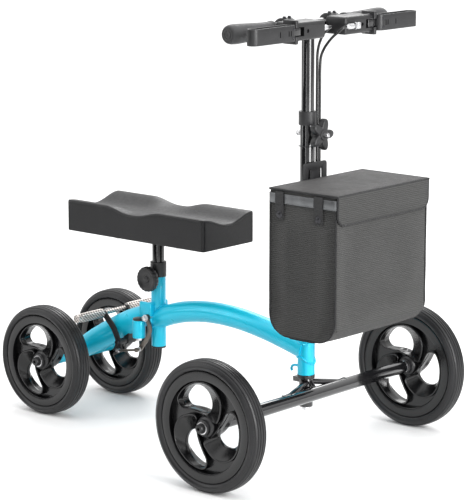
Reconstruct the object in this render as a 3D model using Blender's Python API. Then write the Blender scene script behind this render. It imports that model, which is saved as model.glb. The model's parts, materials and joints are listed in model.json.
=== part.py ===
"""A knee scooter: steered front axle, folding column, front bag, sliding knee rest and rear bar brake.

Metres, +Z up, forward is +X and the rider's left is +Y. The floor is z = 0.
Each sub-part is one named object, and each moving body has an empty on its joint's axis.
"""

import math

import bmesh
import bpy
from mathutils import Matrix, Vector

# ---------------------------------------------------------------- driving sizes
GAP = 0.0003                     # what is left between two pieces that touch

REAR_AXLE_X = -0.3292
SEAT_X = REAR_AXLE_X + 0.2080
COLUMN_X = REAR_AXLE_X + 0.5775
FRONT_AXLE_X = REAR_AXLE_X + 0.6000

FRONT_WHEEL_RADIUS = 0.1197
FRONT_WHEEL_Y = 0.2940
FRONT_TYRE_WIDTH = 0.0400
REAR_WHEEL_RADIUS = 0.1080
REAR_WHEEL_Y = 0.1045
REAR_TYRE_WIDTH = 0.0450
HUB_LENGTH = 0.0440
AXLE_RADIUS = 0.0050
WHEEL_STEPS = 28

MAIN_TUBE_RADIUS = 0.0205
SEAT_TUBE_RADIUS = 0.0143
SEAT_TUBE_BORE = 0.0124
SEAT_TUBE_FOOT = 0.1500
SEAT_TUBE_TOP = 0.3030
SEAT_POST_RADIUS = 0.0120
SEAT_POST_BORE = 0.0105
SEAT_POST_FOOT = 0.1900
SEAT_POST_TOP = 0.3625
HEAD_TUBE_RADIUS = 0.0160
HEAD_TUBE_FOOT = 0.1535
HEAD_TUBE_TOP = 0.2620

PAD_LENGTH, PAD_WIDTH, PAD_HEIGHT = 0.3560, 0.1460, 0.0610
PAD_TOP = 0.4290
PAD_X = REAR_AXLE_X + 0.2114
PAD_CHANNEL_DEPTH = 0.0158

FOLD_PIN_Z = 0.3350
LOWER_COLUMN_RADIUS = 0.0135
LOWER_COLUMN_BORE = 0.0120
LOWER_COLUMN_TOP = 0.6220
UPPER_COLUMN_RADIUS = 0.0117
UPPER_COLUMN_BORE = 0.0102
UPPER_COLUMN_FOOT = 0.4000
COLUMN_COLLAR_FOOT, COLUMN_COLLAR_TOP = 0.6185, 0.6435
STAR_KNOB_Z = 0.6030

BAR_Z = 0.7985
BAR_RADIUS = 0.0111
BAR_BORE = 0.0093
BAR_HALF = 0.2140
GRIP_INNER, GRIP_OUTER = 0.1000, 0.2205
LOOP_FRONT_X = COLUMN_X + 0.0725
LOOP_BACK_X = COLUMN_X + 0.0495
LOOP_OUTER = 0.2350
LOOP_INNER = 0.1185
LOOP_HEIGHT = 0.0290
LEVER_PIVOT_X = COLUMN_X + 0.0560
LEVER_PIVOT_Y = 0.1025
HOUSING_BACK_X, HOUSING_FRONT_X = COLUMN_X + 0.0165, COLUMN_X + 0.0630
HOUSING_INNER, HOUSING_OUTER = 0.0280, 0.1125
ADJUSTER_RIGHT_X, ADJUSTER_LEFT_X = COLUMN_X + 0.0480, COLUMN_X + 0.0690

BAG_BACK_X = REAR_AXLE_X + 0.5990
BAG_FRONT_X = REAR_AXLE_X + 0.7495
BAG_HALF = 0.1325
BAG_FOOT, BAG_TOP = 0.2565, 0.5190
BAG_WALL = 0.0030
BAG_CORNER = 0.0420
FRAME_STRIP = 0.0014
LID_TOP = 0.5232

ARM_END = Vector((REAR_AXLE_X + 0.0150, 0.0, 0.1210))
ARM_ROOT = Vector((REAR_AXLE_X + 0.1350, 0.0, 0.1880))
BRAKE_PIVOT = Vector((REAR_AXLE_X + 0.1300, 0.0, 0.1500))
BRAKE_BAR = Vector((REAR_AXLE_X + 0.0900, 0.0, 0.2030))
BRAKE_LINK_PIN = Vector((REAR_AXLE_X + 0.1340, -0.0315, 0.1345))
PULL_LEVER_PIVOT = Vector((REAR_AXLE_X + 0.2065, 0.0, 0.2100))
PULL_LEVER_TAIL = Vector((REAR_AXLE_X + 0.1880, 0.0, 0.1450))

X_AXIS, Y_AXIS, Z_AXIS = Vector((1, 0, 0)), Vector((0, 1, 0)), Vector((0, 0, 1))
SEAT_KNOB_AXIS = -Y_AXIS
SEAT_KNOB_Z = 0.2865


# ---------------------------------------------------------------- materials
def paint(name, colour, roughness, metallic=0.0):
    material = bpy.data.materials.new(name)
    material.use_nodes = True
    shader = material.node_tree.nodes["Principled BSDF"]
    shader.inputs["Base Color"].default_value = (*colour, 1.0)
    shader.inputs["Roughness"].default_value = roughness
    shader.inputs["Metallic"].default_value = metallic
    material.diffuse_color = (*colour, 1.0)
    return material


# ---------------------------------------------------------------- modelling tools
def add_object(name, shape, material):
    """A mesh object from a closed bmesh, facing outwards."""
    bmesh.ops.recalc_face_normals(shape, faces=shape.faces)
    mesh = bpy.data.meshes.new(name)
    shape.to_mesh(mesh)
    shape.free()
    mesh.shade_smooth()
    mesh.set_sharp_from_angle(angle=math.radians(35))
    item = bpy.data.objects.new(name, mesh)
    bpy.context.scene.collection.objects.link(item)
    if material:
        mesh.materials.append(material)
    return item


def frame_of(axis, at):
    """A matrix whose local Z is the axis, and whose origin is the given place."""
    turn = Vector(axis).to_track_quat("Z", "Y").to_matrix().to_4x4()
    return Matrix.Translation(at) @ turn


def turned(name, profile, at, axis, material, steps=18, ring=True):
    """A solid of revolution. profile holds (radius, height); ring joins its last point to its first."""
    shape = bmesh.new()
    loops = []
    for radius, height in profile:
        if radius < 1e-7:
            loops.append([shape.verts.new((0, 0, height))])
            continue
        angles = [2 * math.pi * step / steps for step in range(steps)]
        loops.append([shape.verts.new((radius * math.cos(a), radius * math.sin(a), height)) for a in angles])
    pairs = list(zip(loops, loops[1:]))
    if ring:
        pairs.append((loops[-1], loops[0]))
    for lower, upper in pairs:
        for step in range(steps):
            after = (step + 1) % steps
            corners = [lower[step % len(lower)], lower[after % len(lower)],
                       upper[after % len(upper)], upper[step % len(upper)]]
            unique = list(dict.fromkeys(corners))
            if len(unique) > 2:
                shape.faces.new(unique)
    shape.transform(frame_of(axis, at))
    return add_object(name, shape, material)


def rod(name, radius, start, end, material, steps=16):
    """A plain cylinder between two places."""
    start, end = Vector(start), Vector(end)
    length = (end - start).length
    profile = [(0, 0), (radius, 0), (radius, length), (0, length)]
    return turned(name, profile, start, end - start, material, steps, ring=False)


def sleeve(name, outer, bore, start, end, material, steps=20):
    """A tube with a bore between two places."""
    start, end = Vector(start), Vector(end)
    length = (end - start).length
    profile = [(bore, 0), (outer, 0), (outer, length), (bore, length)]
    return turned(name, profile, start, end - start, material, steps)


def block(name, low, high, material, bevel=0.0, segments=1):
    """A box between two corners, with its edges bevelled."""
    low, high = Vector(low), Vector(high)
    shape = bmesh.new()
    bmesh.ops.create_cube(shape, size=1.0)
    size = high - low
    bmesh.ops.scale(shape, vec=size, verts=shape.verts)
    bmesh.ops.translate(shape, vec=(low + high) / 2, verts=shape.verts)
    if bevel:
        bmesh.ops.bevel(shape, geom=shape.edges[:], offset=bevel, segments=segments, affect="EDGES")
    return add_object(name, shape, material)


def extruded(name, outline, thickness, place, material):
    """A flat outline of (u, v) points, thickness centred on the local Z of the matrix place."""
    shape = bmesh.new()
    lower = [shape.verts.new((u, v, -thickness / 2)) for u, v in outline]
    upper = [shape.verts.new((u, v, thickness / 2)) for u, v in outline]
    shape.faces.new(lower)
    shape.faces.new(upper)
    for index in range(len(outline)):
        after = (index + 1) % len(outline)
        shape.faces.new([lower[index], lower[after], upper[after], upper[index]])
    shape.transform(place)
    return add_object(name, shape, material)


def side_view(y):
    """A matrix that stands an outline of (x, z) points upright at this y, its thickness along Y."""
    return Matrix.Translation((0, y, 0)) @ Matrix.Rotation(math.radians(90), 4, "X")


def smooth_route(points, pieces):
    """Points on a Catmull-Rom curve through the given places, with this many pieces in each stretch."""
    points = [Vector(p) for p in points]
    padded = [2 * points[0] - points[1], *points, 2 * points[-1] - points[-2]]
    route = []
    for before, start, end, after in zip(padded, padded[1:], padded[2:], padded[3:]):
        for piece in range(pieces):
            t = piece / pieces
            route.append(0.5 * (2 * start + (end - before) * t
                                + (2 * before - 5 * start + 4 * end - after) * t ** 2
                                + (3 * start - before - 3 * end + after) * t ** 3))
    return [*route, points[-1]]


def pipe(name, route, radii, material, steps=14):
    """A solid bent bar along a route, with one radius for each point or one for all."""
    if not isinstance(radii, (list, tuple)):
        radii = [radii] * len(route)
    shape = bmesh.new()
    rings = []
    side = None
    for index, place in enumerate(route):
        ahead = (route[min(index + 1, len(route) - 1)] - route[max(index - 1, 0)]).normalized()
        if side is None:
            side = ahead.orthogonal().normalized()
        side = (side - ahead * side.dot(ahead)).normalized()
        other = ahead.cross(side)
        angles = [2 * math.pi * step / steps for step in range(steps)]
        rings.append([shape.verts.new(place + radii[index] * (side * math.cos(a) + other * math.sin(a)))
                      for a in angles])
    for lower, upper in zip(rings, rings[1:]):
        for step in range(steps):
            after = (step + 1) % steps
            shape.faces.new([lower[step], lower[after], upper[after], upper[step]])
    shape.faces.new(rings[0])
    shape.faces.new(rings[-1])
    return add_object(name, shape, material)


def hide_tool(tool):
    tool.hide_render = True
    tool.display_type = "WIRE"


def combine(target, operation, tools):
    """Joins tools to the target, or cuts them from it, with Boolean modifiers."""
    for tool in tools:
        modifier = target.modifiers.new(operation.title() + " " + tool.name, "BOOLEAN")
        modifier.operation = operation
        modifier.object = tool
        hide_tool(tool)
    return target


def weld(target, *tools):
    return combine(target, "UNION", tools)


def cut(target, *tools):
    return combine(target, "DIFFERENCE", tools)


def at_height(x, z, y=0.0):
    """A place on the middle plane, or y beside it."""
    return Vector((x, y, z))


# ---------------------------------------------------------------- frame
def main_tube_route():
    """The arch's centre line, from inside the seat tube to inside the head tube."""
    stations = [(0.2190, 0.2085), (0.2450, 0.2180), (0.2800, 0.2275), (0.3300, 0.2348), (0.3800, 0.2362),
                (0.4300, 0.2325), (0.4850, 0.2235), (0.5350, 0.2120), (0.5775, 0.2005)]
    return smooth_route([(REAR_AXLE_X + s, 0, z) for s, z in stations], 2)


def rear_arm_shape(name, extra, material):
    """The fat arm from the seat tube down to the rear axle tube."""
    direction = (ARM_ROOT - ARM_END).normalized()
    middle = (ARM_ROOT + ARM_END) / 2
    root = at_height(REAR_AXLE_X + 0.1985, 0.2125)
    beyond_end = ARM_END - direction * 0.012
    route = smooth_route([root, at_height(REAR_AXLE_X + 0.170, 0.2035), ARM_ROOT, middle, ARM_END, beyond_end], 2)
    radii = [0.0205, 0.0205, 0.0207, 0.0215, 0.0228, 0.0245, 0.0250, 0.0240, 0.0215, 0.0200, 0.0180]
    return pipe(name, route, [r + extra for r in radii], material, 16)


def seat_tube_space(name, low=0.10, high=0.33):
    return rod(name, SEAT_TUBE_RADIUS + GAP, at_height(SEAT_X, low), at_height(SEAT_X, high), None, 20)


def build_frame(mats):
    blue, black = mats["blue"], mats["black"]
    head_space = rod("space_head", HEAD_TUBE_RADIUS + GAP, at_height(COLUMN_X, 0.10),
                     at_height(COLUMN_X, 0.30), None, 20)
    main = pipe("main_tube", main_tube_route(), MAIN_TUBE_RADIUS, blue, 16)
    cut(main, seat_tube_space("space_seat_main"), head_space)

    seat_tube = sleeve("seat_tube", SEAT_TUBE_RADIUS, SEAT_TUBE_BORE, at_height(SEAT_X, SEAT_TUBE_FOOT),
                       at_height(SEAT_X, SEAT_TUBE_TOP), blue)
    knob_at = at_height(SEAT_X, SEAT_KNOB_Z)
    cut(seat_tube, rod("space_seat_stud", 0.0043, knob_at, knob_at + SEAT_KNOB_AXIS * 0.03, None, 12))

    plug = turned("seat_tube_plug", [(0, -0.0035), (0.0135, -0.0035), (SEAT_TUBE_RADIUS, -0.0028),
                                     (SEAT_TUBE_RADIUS, -GAP), (0.0120, -GAP), (0.0120, 0.008), (0, 0.008)],
                  at_height(SEAT_X, SEAT_TUBE_FOOT), Z_AXIS, black, ring=False)

    head = sleeve("head_tube", HEAD_TUBE_RADIUS, 0.0128, at_height(COLUMN_X, HEAD_TUBE_FOOT),
                  at_height(COLUMN_X, HEAD_TUBE_TOP), blue)
    hook = pipe("hook_shape", smooth_route([at_height(COLUMN_X - 0.0145, 0.1640),
                                            at_height(COLUMN_X - 0.0240, 0.1665),
                                            at_height(COLUMN_X - 0.0330, 0.1625),
                                            at_height(COLUMN_X - 0.0345, 0.1560)], 2), 0.0024, None, 8)
    weld(head, hook)

    box_low = (REAR_AXLE_X + 0.180, -0.026, 0.198)
    box_high = (REAR_AXLE_X + 0.210, 0.026, 0.238)
    bracket = block("rear_bracket", box_low, box_high, blue, 0.002)
    barrel = rod("barrel_shape", 0.0125, (REAR_AXLE_X + 0.1865, -0.0335, 0.1680),
                 (REAR_AXLE_X + 0.1865, -0.0335, 0.2030), None, 20)
    lever_hole = rod("space_lever_shaft", 0.0043, PULL_LEVER_PIVOT - Y_AXIS * 0.04,
                     PULL_LEVER_PIVOT - Y_AXIS * 0.0, None, 12)
    weld(bracket, barrel)
    cut(bracket, rear_arm_shape("space_rear_arm", GAP, None), seat_tube_space("space_seat_bracket"), lever_hole)

    arm = rear_arm_shape("rear_arm", 0.0, blue)
    axle_space = rod("space_axle_tube", 0.0153, (REAR_AXLE_X, -0.1, REAR_WHEEL_RADIUS),
                     (REAR_AXLE_X, 0.1, REAR_WHEEL_RADIUS), None, 18)
    cut(arm, seat_tube_space("space_seat_arm"), axle_space)

    half = REAR_WHEEL_Y - HUB_LENGTH / 2 - 0.0050
    sleeve("rear_axle_tube", 0.0150, 0.0054, (REAR_AXLE_X, -half, REAR_WHEEL_RADIUS),
           (REAR_AXLE_X, half, REAR_WHEEL_RADIUS), blue)

    lug = rod("brake_pivot_lug", 0.0080, BRAKE_PIVOT - Y_AXIS * 0.012, BRAKE_PIVOT + Y_AXIS * 0.012, black, 20)
    lug_neck = block("lug_neck_shape", BRAKE_PIVOT + Vector((-0.0070, -0.0100, 0)),
                     BRAKE_PIVOT + Vector((0.0070, 0.0100, 0.0250)), None)
    weld(lug, lug_neck)
    cut(lug, rear_arm_shape("space_lug_arm", GAP, None),
        rod("space_brake_shaft", 0.0043, BRAKE_PIVOT - Y_AXIS * 0.03, BRAKE_PIVOT + Y_AXIS * 0.03, None, 12))

    collar = turned("seat_collar", [(SEAT_TUBE_RADIUS + GAP, 0.2890), (0.0158, 0.2890), (0.0158, 0.3160),
                                    (0.0150, 0.3170), (SEAT_POST_RADIUS + 0.0004, 0.3170),
                                    (SEAT_POST_RADIUS + 0.0004, SEAT_TUBE_TOP + GAP),
                                    (SEAT_TUBE_RADIUS + GAP, SEAT_TUBE_TOP + GAP)],
                    at_height(SEAT_X, 0), Z_AXIS, black, 20)
    boss = rod("collar_boss_shape", 0.0075, knob_at + SEAT_KNOB_AXIS * 0.0120,
               knob_at + SEAT_KNOB_AXIS * 0.0195, None, 16)
    weld(collar, boss)
    cut(collar, rod("space_collar_tube", SEAT_TUBE_RADIUS + GAP, at_height(SEAT_X, 0.27),
                    at_height(SEAT_X, SEAT_TUBE_TOP + GAP), None, 20),
        rod("space_collar_stud", 0.0043, knob_at + SEAT_KNOB_AXIS * 0.005, knob_at + SEAT_KNOB_AXIS * 0.03,
            None, 12))
    return ["main_tube", "seat_tube", "seat_tube_plug", "head_tube", "rear_bracket", "rear_arm",
            "rear_axle_tube", "brake_pivot_lug", "seat_collar"]


def axle_bolt(name, x, side, wheel_y, z, tube_end, material):
    """A spacer, a shaft through the hub and a nut at its outer end. side is +1 on the rider's left."""
    hub_inner = wheel_y - HUB_LENGTH / 2
    hub_outer = wheel_y + HUB_LENGTH / 2
    start = tube_end + GAP
    profile = [(0, start), (0.0090, start), (0.0090, hub_inner - GAP), (AXLE_RADIUS, hub_inner - GAP),
               (AXLE_RADIUS, hub_outer + GAP), (0.0095, hub_outer + GAP), (0.0095, hub_outer + 0.0065),
               (0.0070, hub_outer + 0.0095), (0, hub_outer + 0.0095)]
    return turned(name, profile, (x, 0, z), Y_AXIS * side, material, 18, ring=False)


# ---------------------------------------------------------------- steering
def build_steering(mats):
    black, steel = mats["black"], mats["steel"]
    axle_z = FRONT_WHEEL_RADIUS
    half = FRONT_WHEEL_Y - HUB_LENGTH / 2 - 0.0050
    beam = rod("front_axle_frame", 0.0125, (FRONT_AXLE_X, -half, axle_z), (FRONT_AXLE_X, half, axle_z), black, 20)
    post = rod("steering_post_shape", 0.0130, at_height(COLUMN_X, 0.0925), at_height(COLUMN_X, 0.1465), None, 20)
    weld(beam, post)
    for side in (-1, 1):
        weld(beam, rod(f"strut_shape_{side}", 0.0056, (COLUMN_X + 0.006, side * 0.004, 0.1390),
                       (FRONT_AXLE_X - 0.001, side * 0.0820, axle_z + 0.0060), None, 12))
    weld(beam, rod("front_strut_shape", 0.0056, (COLUMN_X + 0.0085, 0, 0.1400),
                   (FRONT_AXLE_X - 0.0020, 0, axle_z + 0.0060), None, 12))
    weld(beam, block("stop_shape", (COLUMN_X - 0.0270, -0.0060, 0.1370), (COLUMN_X - 0.0080, 0.0060, 0.1465),
                     None, 0.001))

    turned("steering_stem", [(0, 0.1468), (0.0100, 0.1468), (0.0100, 0.2700), (0, 0.2700)],
           at_height(COLUMN_X, 0), Z_AXIS, steel, ring=False)
    turned("stem_nut", [(0, 0.0845), (0.0050, 0.0845), (0.0058, 0.0855), (0.0058, 0.0910), (0.0078, 0.0912),
                        (0.0078, 0.0922), (0, 0.0922)], at_height(COLUMN_X, 0), Z_AXIS, steel, 12, ring=False)
    turned("lower_bearing", [(0.0103, 0.1468), (0.0165, 0.1468), (0.0165, HEAD_TUBE_FOOT - GAP),
                             (0.0125, HEAD_TUBE_FOOT - GAP), (0.0125, 0.1640), (0.0103, 0.1640)],
           at_height(COLUMN_X, 0), Z_AXIS, black)
    turned("upper_bearing", [(0.0103, 0.2520), (0.0125, 0.2520), (0.0125, HEAD_TUBE_TOP + GAP),
                             (0.0165, HEAD_TUBE_TOP + GAP), (0.0165, 0.2690), (0.0103, 0.2690)],
           at_height(COLUMN_X, 0), Z_AXIS, black)

    yoke = rod("fold_yoke", 0.0190, at_height(COLUMN_X, 0.2703), at_height(COLUMN_X, 0.3000), black, 18)
    for side in (-1, 1):
        cheek = [(COLUMN_X - 0.0150, 0.2900), (COLUMN_X + 0.0150, 0.2900), (COLUMN_X + 0.0130, FOLD_PIN_Z)]
        arc = [(COLUMN_X + 0.0130 * math.cos(a), FOLD_PIN_Z + 0.0130 * math.sin(a))
               for a in (math.radians(d) for d in range(30, 180, 30))]
        outline = [*cheek, *arc, (COLUMN_X - 0.0130, FOLD_PIN_Z)]
        weld(yoke, extruded(f"cheek_shape_{side}", outline, 0.0045, side_view(side * 0.0165), None))
    pin_ends = at_height(COLUMN_X, FOLD_PIN_Z)
    cut(yoke, rod("space_yoke_pin", 0.0043, pin_ends - Y_AXIS * 0.03, pin_ends + Y_AXIS * 0.03, None, 14))
    return ["front_axle_frame", "steering_stem", "stem_nut", "lower_bearing", "upper_bearing", "fold_yoke"]


def build_fold_lever(mats):
    """A cam lever on the hinge pin's right end. It lies along the column when the column is locked."""
    place = at_height(COLUMN_X, FOLD_PIN_Z, -0.0245)
    lever = rod("fold_lever", 0.0050, place - X_AXIS * 0.0070, place + X_AXIS * 0.0070, mats["black"], 16)
    handle = smooth_route([place + Vector((0, 0, 0)), place + Vector((0, -0.002, 0.018)),
                           place + Vector((0, -0.003, 0.038)), place + Vector((0, -0.006, 0.055))], 2)
    weld(lever, pipe("lever_handle_shape", handle, 0.0042, None, 10))
    return ["fold_lever"]


# ---------------------------------------------------------------- column and bag
def build_column(mats):
    black, steel = mats["black"], mats["steel"]
    pin = at_height(COLUMN_X, FOLD_PIN_Z)
    column = sleeve("lower_column", LOWER_COLUMN_RADIUS, LOWER_COLUMN_BORE, at_height(COLUMN_X, 0.3560),
                    at_height(COLUMN_X, LOWER_COLUMN_TOP), black)
    arc = [(COLUMN_X + 0.0125 * math.cos(a), FOLD_PIN_Z + 0.0125 * math.sin(a))
           for a in (math.radians(d) for d in range(180, 361, 30))]
    knuckle = extruded("knuckle_shape", [*arc, (COLUMN_X + 0.0125, 0.3700), (COLUMN_X - 0.0125, 0.3700)],
                       0.0280, side_view(0), None)
    weld(column, knuckle)
    turned("fold_pin", [(0, -0.0195), (0.0040, -0.0195), (0.0040, 0.0191), (0.0075, 0.0191), (0.0075, 0.0235),
                        (0, 0.0235)], pin, Y_AXIS, steel, 16, ring=False)
    stud_from = at_height(COLUMN_X, STAR_KNOB_Z)
    cut(column, rod("space_knuckle_pin", 0.0043, pin - Y_AXIS * 0.03, pin + Y_AXIS * 0.03, None, 14),
        rod("space_stud", 0.0043, stud_from, stud_from + X_AXIS * 0.03, None, 12))

    turned("column_collar", [(LOWER_COLUMN_RADIUS + GAP, COLUMN_COLLAR_FOOT), (0.0163, COLUMN_COLLAR_FOOT),
                             (0.0163, COLUMN_COLLAR_TOP - 0.001), (0.0153, COLUMN_COLLAR_TOP),
                             (LOWER_COLUMN_BORE, COLUMN_COLLAR_TOP), (LOWER_COLUMN_BORE, LOWER_COLUMN_TOP + GAP),
                             (LOWER_COLUMN_RADIUS + GAP, LOWER_COLUMN_TOP + GAP)],
           at_height(COLUMN_X, 0), Z_AXIS, black, 20)
    turned("column_pin", [(0, LOWER_COLUMN_RADIUS + GAP), (0.0052, LOWER_COLUMN_RADIUS + GAP), (0.0052, 0.0165),
                          (0.0040, 0.0240), (0, 0.0250)], stud_from, -X_AXIS, steel, 12, ring=False)

    plate_x = COLUMN_X + LOWER_COLUMN_RADIUS + 0.0025
    bracket = block("bag_bracket", (plate_x, -0.0335, 0.4400), (plate_x + 0.0030, 0.0335, 0.5520), black)
    clamp = block("bracket_clamp_shape", (COLUMN_X - 0.0060, -0.0170, 0.4600),
                  (plate_x + 0.0010, 0.0145, 0.4900), None)
    weld(bracket, clamp)
    slot_y, slot_half = 0.0160, 0.0040
    for side in (-1, 1):
        cut(bracket, block(f"space_slot_{side}", (plate_x - 0.002, side * slot_y - slot_half, 0.5150),
                           (plate_x + 0.005, side * slot_y + slot_half, 0.5400), None))
    cut(bracket, rod("space_bracket_column", LOWER_COLUMN_RADIUS + GAP, at_height(COLUMN_X, 0.43),
                     at_height(COLUMN_X, 0.56), None, 20))
    return ["lower_column", "fold_pin", "column_collar", "column_pin", "bag_bracket"]


def bag_outline(back, front, foot, top, corner):
    """The bag's side seen along Y: a rectangle with round lower corners."""
    def arc(x, start):
        angles = [math.radians(start + step * 30) for step in range(4)]
        return [(x + corner * math.cos(a), foot + corner + corner * math.sin(a)) for a in angles]
    return [(back, top), *arc(back + corner, 180), *arc(front - corner, 270), (front, top)]


def build_bag(mats):
    body = extruded("bag_body", bag_outline(BAG_BACK_X, BAG_FRONT_X, BAG_FOOT, BAG_TOP, BAG_CORNER),
                    2 * BAG_HALF, side_view(0), mats["fabric"])
    inside = extruded("space_bag", bag_outline(BAG_BACK_X + BAG_WALL, BAG_FRONT_X - BAG_WALL,
                                               BAG_FOOT + BAG_WALL, BAG_TOP + 0.02, BAG_CORNER - BAG_WALL),
                      2 * (BAG_HALF - BAG_WALL), side_view(0), None)
    cut(body, inside)

    strip = block("bag_frame", (BAG_BACK_X - GAP - FRAME_STRIP, -BAG_HALF - GAP - FRAME_STRIP, 0.4980),
                  (BAG_FRONT_X + GAP + FRAME_STRIP, BAG_HALF + GAP + FRAME_STRIP, 0.5140), mats["steel"])
    cut(strip, block("space_strip", (BAG_BACK_X - GAP, -BAG_HALF - GAP, 0.49),
                     (BAG_FRONT_X + GAP, BAG_HALF + GAP, 0.52), None))
    return ["bag_body", "bag_frame"]


def build_lid(mats):
    flap_x = BAG_FRONT_X + GAP + FRAME_STRIP + 0.0004
    lid = block("bag_lid", (BAG_BACK_X, -BAG_HALF - 0.0015, BAG_TOP + 0.0004),
                (flap_x + 0.0028, BAG_HALF + 0.0015, LID_TOP), mats["fabric"])
    half, foot, round_corner = BAG_HALF - 0.0010, 0.4700, 0.0180
    arc_left = [(-half + round_corner - round_corner * math.cos(a), foot + round_corner - round_corner * math.sin(a))
                for a in (math.radians(d) for d in (0, 30, 60, 90))]
    arc_right = [(-u, v) for u, v in reversed(arc_left)]
    outline = [(-half, LID_TOP - 0.001), *arc_left, *arc_right, (half, LID_TOP - 0.001)]
    facing = Matrix.Translation((flap_x + 0.0014, 0, 0)) @ Matrix.Rotation(math.radians(90), 4, "Z") \
        @ Matrix.Rotation(math.radians(90), 4, "X")
    weld(lid, extruded("flap_shape", outline, 0.0028, facing, None))
    return ["bag_lid"]


def star_outline(lobes, root, tip, points_per_lobe=8):
    """A knob outline with round lobes, as (u, v) points."""
    count = lobes * points_per_lobe
    outline = []
    for index in range(count):
        angle = 2 * math.pi * index / count
        wave = 0.5 + 0.5 * math.cos(lobes * angle)
        radius = root + (tip - root) * wave ** 0.8
        outline.append((radius * math.cos(angle), radius * math.sin(angle)))
    return outline


def build_star_knob(mats):
    at = at_height(COLUMN_X, STAR_KNOB_Z)
    stud_profile = [(0, 0.0121), (0.0040, 0.0121), (0.0040, 0.0140), (0.0085, 0.0140), (0.0095, 0.0235),
                    (0.0100, 0.0400), (0.0040, 0.0405), (0.0040, 0.0490), (0, 0.0500)]
    knob = turned("star_knob", stud_profile, at, X_AXIS, mats["black"], 16, ring=False)
    middle = at + X_AXIS * 0.0320
    weld(knob, extruded("star_shape", star_outline(5, 0.0150, 0.0300), 0.0130, frame_of(X_AXIS, middle), None))
    return ["star_knob"]


# ---------------------------------------------------------------- handlebar
def build_handlebar(mats):
    black, rubber = mats["black"], mats["rubber"]
    top = at_height(COLUMN_X, BAR_Z)
    upper = sleeve("upper_column", UPPER_COLUMN_RADIUS, UPPER_COLUMN_BORE, at_height(COLUMN_X, UPPER_COLUMN_FOOT),
                   top, black)
    cut(upper, rod("space_bar", BAR_RADIUS + GAP, top - Y_AXIS * 0.05, top + Y_AXIS * 0.05, None, 18))
    sleeve("handlebar", BAR_RADIUS, BAR_BORE, top - Y_AXIS * BAR_HALF, top + Y_AXIS * BAR_HALF, black, 16)
    names = ["upper_column", "handlebar"]
    for side, word in ((1, "left"), (-1, "right")):
        bore = BAR_RADIUS + GAP
        profile = [(bore, GRIP_INNER), (0.0150, GRIP_INNER), (0.0158, GRIP_INNER + 0.006), (0.0152, 0.125),
                   (0.0165, 0.165), (0.0178, 0.200), (0.0170, 0.2130), (0.0140, 0.2190), (0, GRIP_OUTER),
                   (0, BAR_HALF + GAP), (bore, BAR_HALF + GAP)]
        turned(f"grip_{word}", profile, top, Y_AXIS * side, rubber, 16)

        low_y, high_y = sorted((side * HOUSING_INNER, side * HOUSING_OUTER))
        housing = block(f"lever_housing_{word}", (HOUSING_BACK_X, low_y, BAR_Z - 0.0160),
                        (HOUSING_FRONT_X, high_y, BAR_Z + 0.0160), black, 0.0025)
        weld(housing, rod(f"ring_shape_{word}", 0.0185, top + Y_AXIS * side * 0.052,
                          top + Y_AXIS * side * 0.076, None, 18))
        low_y, high_y = sorted((side * 0.0885, side * (HOUSING_OUTER + 0.0100)))
        cut(housing, rod(f"space_ring_{word}", BAR_RADIUS + GAP, top, top + Y_AXIS * side * 0.11, None, 16),
            block(f"space_tab_{word}", (COLUMN_X + 0.0440, low_y, BAR_Z - 0.0075),
                  (COLUMN_X + 0.0700, high_y, BAR_Z + 0.0075), None),
            rod(f"space_trunnion_{word}", 0.0033, (LEVER_PIVOT_X, side * LEVER_PIVOT_Y, BAR_Z - 0.0130),
                (LEVER_PIVOT_X, side * LEVER_PIVOT_Y, BAR_Z + 0.0130), None, 12))

        names += [f"grip_{word}", f"lever_housing_{word}"]

    barrel = [(0, 0.0010), (0.0022, 0.0010), (0.0030, 0.0080), (0.0048, 0.0085), (0.0048, 0.0205), (0.0035, 0.0210),
              (0.0035, 0.0277), (0, 0.0277)]
    turned("cable_adjuster_right", barrel, (ADJUSTER_RIGHT_X, 0, BAR_Z), -Y_AXIS, mats["steel"], 14, ring=False)
    barrel = [(0, 0.0230), (0.0022, 0.0230), (0.0030, 0.0330), (0.0048, 0.0335), (0.0048, 0.0460), (0.0035, 0.0465),
              (0.0035, 0.0560), (0, 0.0560)]
    adjuster = turned("cable_adjuster_left", barrel, (ADJUSTER_LEFT_X, 0, BAR_Z), Y_AXIS, mats["steel"], 14,
                      ring=False)
    weld(adjuster, block("adjuster_foot_shape", (HOUSING_FRONT_X + 0.0003, 0.0520, BAR_Z - 0.0050),
                         (ADJUSTER_LEFT_X + 0.0045, 0.0600, BAR_Z + 0.0050), None))
    return names + ["cable_adjuster_right", "cable_adjuster_left"]


def loop_outline(back, front, inner, outer):
    """A long loop with round ends, seen from above, as (x, distance from the middle plane) points."""
    radius = (front - back) / 2
    middle = (front + back) / 2
    outer_arc = [(middle + radius * math.cos(a), outer - radius + radius * math.sin(a))
                 for a in (math.radians(d) for d in range(0, 181, 30))]
    inner_arc = [(middle + radius * math.cos(a), inner + radius + radius * math.sin(a))
                 for a in (math.radians(d) for d in range(180, 361, 30))]
    return outer_arc + inner_arc


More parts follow.
